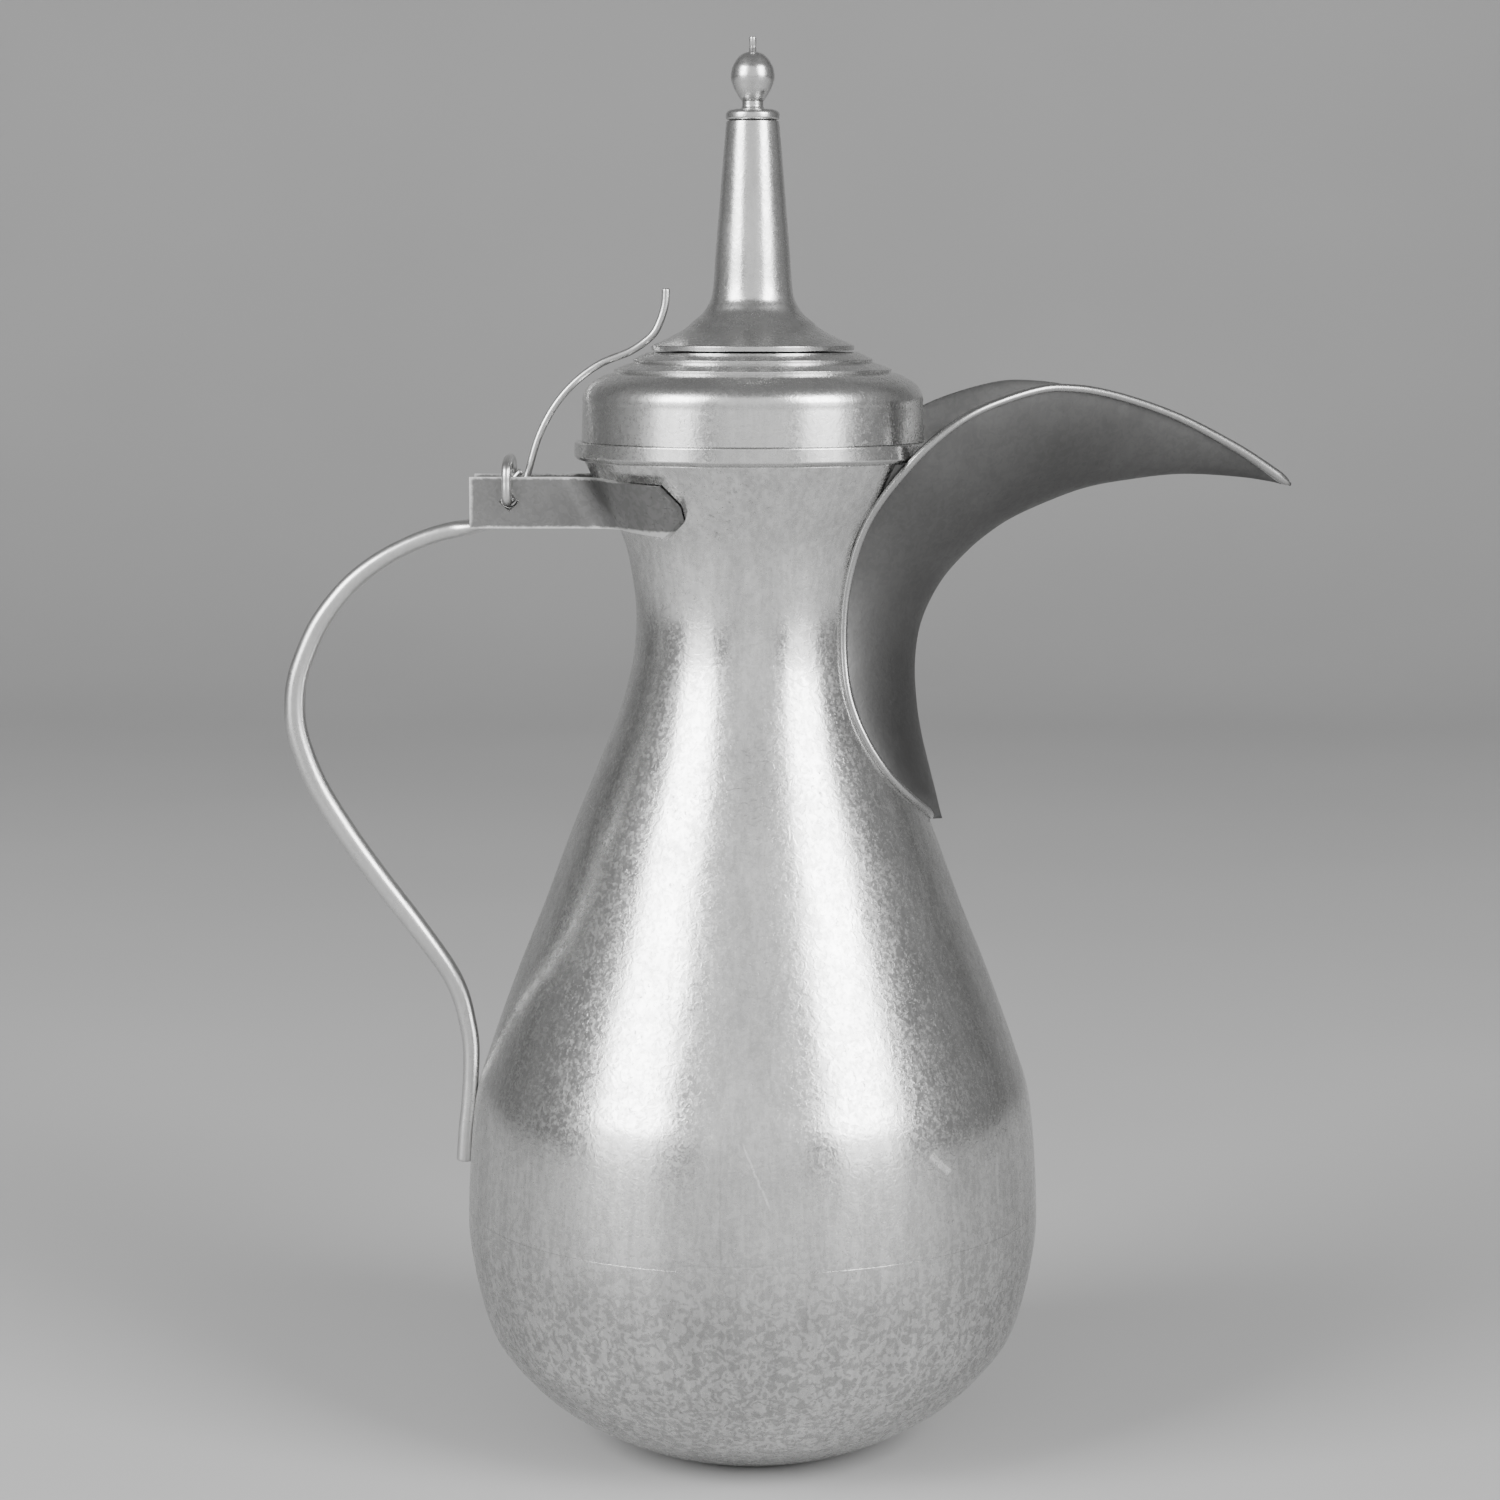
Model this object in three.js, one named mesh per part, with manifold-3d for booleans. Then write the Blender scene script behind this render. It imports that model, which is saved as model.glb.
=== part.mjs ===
// A dallah: a tall, waisted coffee pot with a hinged lid, a crescent beak and a bent rod handle.
// Millimetres. +Z is up, +X points to the spout and the handle is at -X.
// The origin is the centre of the base's underside, on the axis of the pot.

import * as THREE from 'three';
import { mergeVertices } from 'three/addons/utils/BufferGeometryUtils.js';
import Module from 'manifold-3d';

const wasm = await Module();
wasm.setup();

// ---------------------------------------------------------------- driving dimensions

const clearance = 0.3; // between pieces that are brazed, seated or clamped together
const sheet = 1.2; // thickness of the raised sheet metal

const bandProud = 1.9; // how far the band stands out past the mouth
const lidInset = 1.5; // how far the lid's wall stands in from the band's edge
const lidTread = 14.7; // the stepped top, from the lid's wall in to the spire's foot
const strapPastBand = 21.7; // the straps' free ends beyond the band
const pinPastBand = 13.8; // the hinge pin beyond the band
const gripPastStrap = 38.4; // the handle's widest bow beyond the straps' ends
const gripBelowMouth = 52.7;
const waistBelowMouth = 33.7;

const base = { radius: 22, z: 0 };
const belly = { radius: 61.3, z: 53 };
const mouth = { radius: 35.7, z: 212.7 };
const waist = { radius: 24.7, z: mouth.z - waistBelowMouth };
const strainer = { holeRadius: 1.8, pitch: 6.4, rows: 3, belowWaist: 12 };

const band = { radius: mouth.radius + bandProud, width: 3.1, height: 3.45, chamfer: 0.7 };

const lid = { radius: band.radius - lidInset, height: 18.5 };
const skirt = { depth: 2.6, wall: 1, play: 2 };

const spire = { footRadius: lid.radius - lidTread, waistRadius: 8.35, topRadius: 5.55, height: 47.5 };
const collar = { radius: 5.65, height: 2.1 };
const stem = { radius: 2.2, height: 1.2 };
const knob = { radius: 4.6, height: 10 };
const tieRod = { radius: 0.75, proud: 3.15, belowNut: 0.9 };
const washer = { radius: 3.6, height: 0.8 };
const nut = { acrossFlats: 4.6, height: 1.7 };

const strap = {
  outerHalf: 7.9,
  thickness: 1.3,
  height: 10.75,
  topBelowMouth: 3.4,
  reach: band.radius + strapPastBand,
  bend: 11,
};
const strapEnd = { azimuthTop: 0.98, azimuthMiddle: 1.09, azimuthFoot: 0.93, slope: 0.9 };
const link = { wire: 1.1, legHalf: 9.8, rise: 8.8, arch: 0.9, corner: 2.2 };
const linkHole = { halfDiagonal: 2.2, ahead: 0.4 };
const pivot = { x: -band.radius - pinPastBand, belowStrapTop: 5.2 };

const arm = { foot: 0.7, head: 0.85, eye: 2.15 };

const rod = { topRadius: 1.85, middleRadius: 2.35, footRadius: 1.7, saddle: 0.45 };
const grip = { reach: strap.reach + gripPastStrap, z: mouth.z - gripBelowMouth };
const tongue = { halfThickness: 1.25, length: 19, lift: 1.7 };
const rodFoot = { z: belly.z + 8.3 };

const spout = { turn: THREE.MathUtils.degToRad(8), reach: 117.3, crest: 15.8, footZ: 135.2, footProud: 3.2 };
const bead = { radius: 0.8, from: 0.05, to: 0.98 };

const aroundPot = 32;
const aroundSmall = 16;
const aroundWire = 8;

// ---------------------------------------------------------------- colours

const silver = { color: 0xb4b3b0, roughness: 0.34, metalness: 1 };
const darkSilver = { color: 0x8f8e8b, roughness: 0.42, metalness: 1 };

// ---------------------------------------------------------------- solids

const point = (x, y, z) => new THREE.Vector3(x, y, z);

// Gives a closed solid from any closed geometry, with its faces pointing out.
function solidOf(geometry) {
  const bare = geometry.clone();
  bare.deleteAttribute('normal');
  bare.deleteAttribute('uv');
  const merged = mergeVertices(bare, 1e-4);
  const places = merged.getAttribute('position');
  const corner = (i) => new THREE.Vector3().fromBufferAttribute(places, i);
  const faces = [];
  let sixVolumes = 0;
  for (let i = 0; i < merged.index.count; i += 3) {
    const [a, b, c] = [0, 1, 2].map((k) => merged.index.getX(i + k));
    if (a !== b && b !== c && c !== a) {
      faces.push([a, b, c]);
      sixVolumes += corner(a).dot(corner(b).cross(corner(c)));
    }
  }
  const outward = sixVolumes > 0 ? faces : faces.map(([a, b, c]) => [a, c, b]);
  return new wasm.Manifold(
    new wasm.Mesh({
      numProp: 3,
      vertProperties: new Float32Array(places.array),
      triVerts: new Uint32Array(outward.flat()),
    }),
  );
}

// Gives the named mesh of a solid, in a material of its own.
function piece(name, solid, look) {
  const result = solid.getMesh();
  const geometry = new THREE.BufferGeometry();
  geometry.setAttribute('position', new THREE.BufferAttribute(result.vertProperties, 3));
  geometry.setIndex(new THREE.BufferAttribute(result.triVerts, 1));
  geometry.computeVertexNormals();
  const mesh = new THREE.Mesh(geometry, new THREE.MeshStandardMaterial(look));
  mesh.name = name;
  return mesh;
}

// Turns a profile of [radius, z] points round the Z axis.
function turned(profile, segments) {
  const outline = profile.map(([radius, z]) => new THREE.Vector2(radius, z));
  const geometry = new THREE.LatheGeometry(outline, segments);
  geometry.rotateX(Math.PI / 2);
  return solidOf(geometry);
}

// A flat ring or disc between two radii and two heights.
function disc(inner, outer, low, high, segments) {
  return turned([[inner, low], [outer, low], [outer, high], [inner, high], [inner, low]], segments);
}

function geometryOf(points, faces) {
  const geometry = new THREE.BufferGeometry();
  geometry.setFromPoints(points);
  geometry.setIndex(faces.flat());
  return geometry;
}

// A rod through centres that lie in one plane. Its section is an ellipse: `across` is the half size
// along the plane's normal, and `within` is the half size in the plane.
function rodThrough(centres, planeNormal, across, within, sides, closed = false) {
  const count = centres.length;
  const points = [];
  centres.forEach((centre, i) => {
    const before = closed ? centres[(i + count - 1) % count] : centres[Math.max(i - 1, 0)];
    const after = closed ? centres[(i + 1) % count] : centres[Math.min(i + 1, count - 1)];
    const side = after.clone().sub(before).normalize().cross(planeNormal);
    for (let k = 0; k < sides; k += 1) {
      const angle = (2 * Math.PI * (k + 0.5)) / sides;
      const offset = side.clone().multiplyScalar(within(i / (count - 1)) * Math.cos(angle));
      offset.addScaledVector(planeNormal, across(i / (count - 1)) * Math.sin(angle));
      points.push(centre.clone().add(offset));
    }
  });
  const faces = [];
  const rings = closed ? count : count - 1;
  for (let i = 0; i < rings; i += 1) {
    for (let k = 0; k < sides; k += 1) {
      const a = i * sides + k;
      const b = i * sides + ((k + 1) % sides);
      const c = ((i + 1) % count) * sides + k;
      const d = ((i + 1) % count) * sides + ((k + 1) % sides);
      faces.push([a, b, d], [a, d, c]);
    }
  }
  if (!closed) {
    const last = (count - 1) * sides;
    for (let k = 1; k < sides - 1; k += 1) {
      faces.push([0, k + 1, k], [last, last + k, last + k + 1]);
    }
  }
  return solidOf(geometryOf(points, faces));
}

// A sheet of metal between two grids of points that face each other.
function sheetBetween(front, back) {
  const rows = front.length;
  const columns = front[0].length;
  const points = [...front.flat(), ...back.flat()];
  const at = (layer, i, j) => layer * rows * columns + i * columns + j;
  const faces = [];
  const quad = (a, b, c, d) => faces.push([a, b, c], [a, c, d]);
  for (let i = 0; i < rows - 1; i += 1) {
    for (let j = 0; j < columns - 1; j += 1) {
      quad(at(0, i, j), at(0, i, j + 1), at(0, i + 1, j + 1), at(0, i + 1, j));
      quad(at(1, i, j), at(1, i + 1, j), at(1, i + 1, j + 1), at(1, i, j + 1));
    }
    quad(at(0, i, 0), at(0, i + 1, 0), at(1, i + 1, 0), at(1, i, 0));
    const end = columns - 1;
    quad(at(0, i, end), at(1, i, end), at(1, i + 1, end), at(0, i + 1, end));
  }
  for (let j = 0; j < columns - 1; j += 1) {
    quad(at(0, 0, j), at(1, 0, j), at(1, 0, j + 1), at(0, 0, j + 1));
    const end = rows - 1;
    quad(at(0, end, j), at(0, end, j + 1), at(1, end, j + 1), at(1, end, j));
  }
  return solidOf(geometryOf(points, faces));
}

// ---------------------------------------------------------------- the pot's outline

// Each row is [share of the rise, share of the way from one radius to the next].
const bowlShape = [[0, 0], [0.075, 0.254], [0.211, 0.56], [0.385, 0.789], [0.528, 0.898], [0.779, 0.979]];
const shoulderShape = [
  [0, 0], [0.175, 0.044], [0.27, 0.137], [0.394, 0.29], [0.518, 0.461],
  [0.643, 0.621], [0.766, 0.795], [0.849, 0.906], [0.929, 0.978],
];
const flareShape = [[0, 0], [0.237, 0.058], [0.504, 0.236], [0.742, 0.601], [1, 1]];

function stretch(shape, from, to) {
  return shape.map(([rise, way]) => new THREE.Vector2(
    from.radius + (to.radius - from.radius) * way,
    from.z + (to.z - from.z) * rise,
  ));
}

const outlineKnots = [
  ...stretch(bowlShape, base, belly),
  ...stretch(shoulderShape, belly, waist),
  ...stretch(flareShape, waist, mouth),
];
const outlineCurve = new THREE.SplineCurve(outlineKnots);
const bellyShare = bowlShape.length / (outlineKnots.length - 1);

// Points along the outer outline, moved out by `offset` along its normal.
function outline(fromShare, toShare, steps, offset) {
  const points = [];
  for (let i = 0; i <= steps; i += 1) {
    const share = fromShare + ((toShare - fromShare) * i) / steps;
    const place = outlineCurve.getPoint(share);
    const along = outlineCurve.getTangent(share);
    points.push([place.x + along.y * offset, place.y - along.x * offset]);
  }
  return points;
}

const fineOutline = outline(0, 1, 200, 0);

// The pot's outer radius at a height.
function potRadius(z) {
  const above = fineOutline.findIndex(([, height]) => height >= z);
  if (above < 1) {
    return above === 0 ? base.radius : mouth.radius;
  }
  const [lowRadius, low] = fineOutline[above - 1];
  const [highRadius, high] = fineOutline[above];
  return lowRadius + ((highRadius - lowRadius) * (z - low)) / (high - low);
}

const bowlSteps = 8;
const neckSteps = 18;
const seamHalf = clearance / 2;

// The pot filled in and grown by the clearance, to cut whatever is brazed against it.
function grownPot() {
  const wall = outline(0, 1, bowlSteps + neckSteps, clearance);
  const top = band.height + 2 * clearance;
  return turned([[0, -clearance], ...wall, [mouth.radius + clearance, mouth.z + top], [0, mouth.z + top]], aroundPot);
}

function bowlShell() {
  const outer = outline(0, bellyShare, bowlSteps, 0);
  const inner = outline(0, bellyShare, bowlSteps, -sheet).reverse();
  outer[0][1] = 0;
  const lip = belly.z - seamHalf;
  outer[bowlSteps][1] = lip;
  inner[0][1] = lip;
  inner[bowlSteps][1] = sheet;
  return turned([[0, 0], ...outer, ...inner, [0, sheet]], aroundPot);
}

// The neck's wall is pierced behind the spout, to hold back the coffee grounds.
function neckShell() {
  const outer = outline(bellyShare, 1, neckSteps, 0);
  const inner = outline(bellyShare, 1, neckSteps, -sheet).reverse();
  const foot = belly.z + seamHalf;
  outer[0][1] = foot;
  inner[neckSteps][1] = foot;
  inner[0][1] = mouth.z;
  let shell = turned([...outer, ...inner, outer[0]], aroundPot);
  for (let row = 0; row < strainer.rows; row += 1) {
    const places = row % 2 === 0 ? [-0.5, 0.5] : [-1, 0, 1];
    const z = waist.z - strainer.belowWaist - row * strainer.pitch;
    for (const place of places) {
      const drill = new THREE.CylinderGeometry(strainer.holeRadius, strainer.holeRadius, 2 * waist.radius, 10);
      drill.rotateZ(Math.PI / 2);
      drill.translate(waist.radius, place * strainer.pitch, z);
      drill.rotateZ(spout.turn);
      shell = shell.subtract(solidOf(drill));
    }
  }
  return shell;
}

// ---------------------------------------------------------------- the mouth's band

const bandBottom = mouth.z + clearance;
const bandTop = bandBottom + band.height;
const bandBore = band.radius - band.width;

function mouthBand() {
  return turned([
    [bandBore, bandBottom],
    [band.radius - band.chamfer, bandBottom],
    [band.radius, bandBottom + band.chamfer],
    [band.radius, bandTop],
    [bandBore, bandTop],
    [bandBore, bandBottom],
  ], aroundPot);
}

// ---------------------------------------------------------------- the lid

const lidBottom = bandTop + clearance;
const lidTop = lidBottom + lid.height;

// The wall, the rounded shoulder and the slope with its two raised steps. Each row is
// [share of the lid's radius, share of its height].
const lidShape = [
  [1, 0], [1, 0.35], [0.995, 0.46], [0.979, 0.568], [0.957, 0.625], [0.922, 0.68], [0.868, 0.735],
  [0.812, 0.775], [0.808, 0.803], [0.7, 0.885], [0.696, 0.912], [0.62, 1],
];

// The lid's outline moved in by an inset, from the foot of the wall to the flat under the spire.
function lidOutline(inset) {
  return lidShape.map(([way, rise]) => {
    const slope = THREE.MathUtils.smoothstep(rise, 0.4, 0.75);
    return [lid.radius * way - inset * (1 - 0.6 * slope), lidBottom + lid.height * rise - inset * slope];
  });
}

function lidCap() {
  const bore = tieRod.radius + clearance;
  const outer = lidOutline(0);
  const inner = lidOutline(sheet).reverse();
  return turned([...outer, [bore, lidTop], [bore, lidTop - sheet], ...inner, outer[0]], aroundPot);
}

// A short sleeve inside the lid drops into the mouth. Its play lets it swing out on the hinge.
function lidSkirt() {
  const outer = bandBore - skirt.play;
  const flange = lid.radius - sheet - clearance;
  const inner = outer - skirt.wall;
  const low = bandTop - skirt.depth;
  const seat = lidBottom + clearance;
  return turned([
    [inner - 1, low],
    [outer - 1, low],
    [outer, bandTop],
    [outer, seat],
    [flange, seat],
    [flange, seat + skirt.wall],
    [inner, seat + skirt.wall],
    [inner - 1, low],
  ], aroundPot);
}

// ---------------------------------------------------------------- the spire and its finial

const spireBottom = lidTop + clearance;
const spireTop = spireBottom + spire.height;
const collarBottom = spireTop + clearance;
const collarTop = collarBottom + collar.height;
const stemBottom = collarTop + clearance;
const stemTop = stemBottom + stem.height;
const knobBottom = stemTop + clearance;
const knobTop = knobBottom + knob.height;

// A hollow trumpet. Each row is [share of the height, share from the waist's radius to the foot's].
const trumpet = [
  [0.022, 1], [0.045, 0.83], [0.071, 0.64], [0.11, 0.4], [0.155, 0.215], [0.199, 0.088], [0.228, 0.038], [0.281, 0],
];

function trumpetSpire() {
  const flare = trumpet.map(([rise, way]) => [
    spire.waistRadius + (spire.footRadius - spire.waistRadius) * way,
    spireBottom + spire.height * rise,
  ]);
  const outer = [[spire.footRadius, spireBottom], ...flare, [spire.topRadius, spireTop]];
  const bore = tieRod.radius + clearance;
  const inner = [
    [bore, spireTop],
    [bore, spireTop - sheet],
    [spire.topRadius - sheet, spireTop - sheet],
    ...flare.slice(2).reverse().map(([radius, z]) => [radius - sheet, z - sheet / 2]),
    [spire.footRadius - 4 * sheet, spireBottom],
  ];
  return turned([...outer, ...inner, outer[0]], aroundSmall + 4);
}

function finialCollar() {
  const bore = tieRod.radius + clearance;
  const round = collar.height / 3;
  return turned([
    [bore, collarBottom],
    [collar.radius - 0.1, collarBottom],
    [collar.radius, collarBottom + round],
    [collar.radius - 0.2, collarTop - round],
    [collar.radius - 1.3, collarTop],
    [bore, collarTop],
    [bore, collarBottom],
  ], aroundSmall);
}

function finialStem() {
  return disc(tieRod.radius + clearance, stem.radius, stemBottom, stemTop, aroundSmall);
}

// An onion shape. Each row is [share of the height, share of the radius].
const onion = [
  [0, 0.456], [0.06, 0.536], [0.157, 0.67], [0.243, 0.786], [0.33, 0.885], [0.417, 0.972], [0.47, 1],
  [0.59, 0.964], [0.678, 0.905], [0.765, 0.814], [0.852, 0.687], [0.904, 0.575], [0.956, 0.437], [1, 0.27],
];

function finialKnob() {
  const bore = tieRod.radius + clearance;
  const outer = onion.map(([rise, way]) => [
    Math.max(knob.radius * way, bore + 0.1),
    knobBottom + knob.height * rise,
  ]);
  return turned([[bore, knobBottom], ...outer, [bore, knobTop], [bore, knobBottom]], aroundSmall);
}

// One rod clamps the finial and the spire to the lid, from its proud tip down to the nut.
const washerTop = lidTop - sheet - clearance;
const nutTop = washerTop - washer.height - clearance;
const nutBottom = nutTop - nut.height;

function tieRodSolid() {
  const low = nutBottom - tieRod.belowNut;
  const high = knobTop + tieRod.proud;
  return turned([[0, low], [tieRod.radius, low], [tieRod.radius, high], [0, high]], 12);
}

function rodWasher() {
  return disc(tieRod.radius + clearance, washer.radius, washerTop - washer.height, washerTop, 16);
}

function rodNut() {
  return disc(tieRod.radius + clearance, nut.acrossFlats / Math.sqrt(3), nutBottom, nutTop, 6);
}

// ---------------------------------------------------------------- the hinge straps

const strapTop = mouth.z - strap.topBelowMouth;
const strapBottom = strapTop - strap.height;
const pivotZ = strapTop - pivot.belowStrapTop;

// How far round the neck a strap reaches at a share of its height.
function strapAzimuth(share) {
  const ends = [strapEnd.azimuthFoot, strapEnd.azimuthMiddle, strapEnd.azimuthMiddle, strapEnd.azimuthTop];
  const shares = [0, 0.3, 0.62, 1];
  const i = shares.findIndex((limit) => limit >= share - 1e-9);
  if (i < 1) {
    return ends[0];
  }
  const way = (share - shares[i - 1]) / (shares[i] - shares[i - 1]);
  return ends[i - 1] + (ends[i] - ends[i - 1]) * way;
}

// One strap runs straight out from the neck and its root wraps the neck. `lift` is the distance of
// a face from the neck: the strap's back lies at the clearance, its front a thickness further out.
function strapFace(side, depth) {
  const rows = 4;
  const face = [];
  for (let i = 0; i <= rows; i += 1) {
    const share = i / rows;
    const level = strapBottom + strap.height * share;
    const line = strap.outerHalf - strap.thickness + depth;
    const wrap = potRadius(level) + clearance + depth + 0.4;
    const bend = strap.bend - depth;
    const bendX = -Math.sqrt((wrap + bend) ** 2 - (line + bend) ** 2);
    const turn = Math.atan2(line + bend, -bendX);
    const row = [];
    for (let j = 0; j <= 2; j += 1) {
      row.push([-strap.reach + ((bendX + strap.reach) * j) / 2, line, 0]);
    }
    for (let j = 1; j <= 5; j += 1) {
      const angle = (Math.PI / 2 - turn) * (j / 5);
      row.push([bendX + bend * Math.sin(angle), line + bend * (1 - Math.cos(angle)), 0]);
    }
    for (let j = 1; j <= 5; j += 1) {
      const angle = turn + (strapAzimuth(share) - turn) * (j / 5);
      row.push([-wrap * Math.cos(angle), wrap * Math.sin(angle), -strapEnd.slope * (j / 5)]);
    }
    face.push(row.map(([x, y, drop]) => point(x, side * y, level + drop)));
  }
  return face;
}

function hingeStrap(side) {
  const plate = sheetBetween(strapFace(side, strap.thickness), strapFace(side, 0));
  const edge = linkHole.halfDiagonal * Math.SQRT2;
  const punch = new THREE.BoxGeometry(edge, 4 * strap.outerHalf, edge);
  punch.rotateY(Math.PI / 4);
  punch.translate(pivot.x + linkHole.ahead, 0, pivotZ);
  return plate.subtract(solidOf(punch)).subtract(grownPot());
}

// ---------------------------------------------------------------- the hinge link

// A wide closed link of wire. Its lower run is the hinge pin, and its legs stand outside the straps.
function hingeLink() {
  const right = link.legHalf;
  const low = pivotZ;
  const high = pivotZ + link.rise - link.arch;
  const turnRadius = link.corner;
  const path = new THREE.Path();
  path.moveTo(0, low);
  path.lineTo(right - turnRadius, low);
  path.absarc(right - turnRadius, low + turnRadius, turnRadius, -Math.PI / 2, 0, false);
  path.lineTo(right, high - turnRadius);
  path.absarc(right - turnRadius, high - turnRadius, turnRadius, 0, Math.PI / 3, false);
  path.quadraticCurveTo(0, high + 2 * link.arch, -right + turnRadius / 2, high - turnRadius * 0.13);
  path.absarc(-right + turnRadius, high - turnRadius, turnRadius, (2 * Math.PI) / 3, Math.PI, false);
  path.lineTo(-right, low + turnRadius);
  path.absarc(-right + turnRadius, low + turnRadius, turnRadius, Math.PI, 1.5 * Math.PI, false);
  path.lineTo(0, low);
  const centres = path.getSpacedPoints(44).slice(0, -1).map(({ x, y }) => point(pivot.x, x, y));
  const round = () => link.wire;
  return rodThrough(centres, point(1, 0, 0), round, round, aroundWire, true);
}

// ---------------------------------------------------------------- the lid's arm

// From the eye to the spire's foot, each row is [share of the way in, share of the rise].
const armRise = [[0, 0], [0.135, 0.303], [0.34, 0.576], [0.637, 0.818], [1, 1]];

// The brazed bend on the spire's foot and the thumb lever above it, as [in, up] from the foot's rim.
const thumbLever = [[-4.3, -0.2], [-1.3, 1.75], [0.75, 3.7], [2.15, 6.6], [3, 9.7], [3.2, 12.9]];

// A wire from the eye round the hinge pin, over the lid's shoulder and up to the thumb lever.
function lidArm() {
  const tail = [[2.6, 6.1], [0.6, 3.9]].map(([x, z]) => [pivot.x + x, pivotZ + z]);
  const loop = [160, 205, 250, 295, 335].map((degrees) => {
    const angle = THREE.MathUtils.degToRad(degrees);
    return [pivot.x + arm.eye * Math.cos(angle), pivotZ + arm.eye * Math.sin(angle)];
  });
  const start = { x: pivot.x + 4.15, z: pivotZ + 6.3 };
  const end = { x: -spire.footRadius - 10.7, z: spireBottom - 2.85 };
  const rise = armRise.map(([way, up]) => [start.x + (end.x - start.x) * way, start.z + (end.z - start.z) * up]);
  const lever = thumbLever.map(([x, z]) => [x - spire.footRadius, spireBottom + z]);
  const places = [...tail, ...loop, [pivot.x + 3.1, pivotZ + 2.6], ...rise, ...lever].map(([x, z]) => point(x, 0, z));
  const curve = new THREE.CatmullRomCurve3(places, false, 'centripetal');
  const wire = (share) => arm.foot + (arm.head - arm.foot) * share;
  return rodThrough(curve.getSpacedPoints(64), point(0, 1, 0), wire, wire, aroundWire);
}

// ---------------------------------------------------------------- the handle

const tongueZ = strapBottom - 0.2;

// The grip's bends. Each row is [share of the way out or in, share of the way down].
const gripOut = [
  [0.18, 0.034], [0.341, 0.0925], [0.51, 0.182], [0.659, 0.294], [0.771, 0.415], [0.865, 0.55], [0.935, 0.7], [0.985, 0.85],
];
const gripIn = [
  [0, 0], [0.014, 0.0745], [0.114, 0.2145], [0.2855, 0.3565], [0.4915, 0.4986], [0.716, 0.641],
  [0.923, 0.784], [0.989, 0.855], [1.026, 0.928], [1.048, 1],
];

// A bent rod. Its top is forged flat between the straps, and its foot lies against the belly.
function handleRod() {
  const top = tongueZ;
  const wrist = rodFoot.z + 25.5;
  const beside = (z) => -(potRadius(z) + rod.footRadius - rod.saddle);
  const foot = beside(rodFoot.z);
  const places = [
    [-strap.reach + tongue.length, top + tongue.lift],
    [-strap.reach + tongue.length / 2, top + tongue.lift],
    [-strap.reach - 0.6, top],
    ...gripOut.map(([out, down]) => [
      -strap.reach - (grip.reach - strap.reach) * out,
      top - (top - grip.z) * down,
    ]),
    ...gripIn.map(([inward, down]) => [
      -grip.reach + (grip.reach + foot) * inward,
      grip.z - (grip.z - wrist) * down,
    ]),
    [beside(rodFoot.z + 13.7), rodFoot.z + 13.7],
    [beside(rodFoot.z + 7), rodFoot.z + 7],
    [foot, rodFoot.z],
  ].map(([x, z]) => point(x, 0, z));
  const curve = new THREE.CatmullRomCurve3(places, false, 'centripetal');
  const swell = (share) => Math.sin(Math.PI * THREE.MathUtils.clamp((share - 0.18) / 0.72, 0, 1));
  const ends = (share) => rod.topRadius + (rod.footRadius - rod.topRadius) * share;
  const radius = (share) => ends(share) + (rod.middleRadius - ends(share)) * swell(share);
  const tongueShare = (tongue.length - 3) / curve.getLength();
  const flat = (share) => 1 - THREE.MathUtils.smoothstep(share, tongueShare * 0.75, tongueShare * 1.5);
  const half = strap.outerHalf - strap.thickness - clearance;
  const across = (share) => THREE.MathUtils.lerp(radius(share), half, flat(share));
  const within = (share) => THREE.MathUtils.lerp(radius(share), tongue.halfThickness, flat(share));
  const solid = rodThrough(curve.getSpacedPoints(52), point(0, 1, 0), across, within, 12);
  return solid.subtract(grownPot());
}

// ---------------------------------------------------------------- the spout

// The rim of the beak. On the neck, each row is [z, azimuth off the spout's own plane in radians].
const neckRise = waist.z - spout.footZ;
const flareRise = mouth.z - waist.z;
const seam = [
  [spout.footZ, 0.03], [spout.footZ + neckRise * 0.05, 0.2], [spout.footZ + neckRise * 0.17, 0.53],
  [spout.footZ + neckRise * 0.3, 0.72], [spout.footZ + neckRise * 0.46, 0.84], [spout.footZ + neckRise * 0.66, 0.905],
  [waist.z - neckRise * 0.08, 0.89], [waist.z + flareRise * 0.28, 0.86], [waist.z + flareRise * 0.66, 0.81],
];

// Off the neck, each row is [share of the way from the band to the tip, share of the crest's height
// above the mouth, share of the half width at the band].
const freeRim = [
  [0, 0, 1], [0.075, 0.4, 1.008], [0.155, 0.69, 0.98], [0.32, 0.985, 0.84], [0.398, 1, 0.752],
  [0.49, 0.93, 0.64], [0.67, 0.63, 0.42], [0.84, 0.18, 0.224], [0.935, -0.13, 0.12], [1, -0.37, 0.06],
];
const besideBand = { radius: band.radius + clearance, azimuth: 0.72 };
const rimStart = {
  x: besideBand.radius * Math.cos(besideBand.azimuth),
  half: besideBand.radius * Math.sin(besideBand.azimuth),
};

// The keel, one row for each row of the rim: on the neck [distance outside the pot, z]; off the
// neck [share of the way from the band to the tip, distance below the mouth].
const neckKeel = [
  [spout.footProud, 0], [3.4, 0.045], [4.1, 0.15], [5, 0.28], [6.1, 0.43],
  [7.5, 0.58], [9.5, 0.79], [11.7, 0.98], [15.3, 1.17],
];
const freeKeel = [
  [0.2, 19.8], [0.257, 15.7], [0.312, 12.7], [0.445, 7.8], [0.507, 6.2],
  [0.58, 5.1], [0.72, 3.8], [0.87, 4.5], [0.94, 5.4], [1, 6.5],
];

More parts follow.
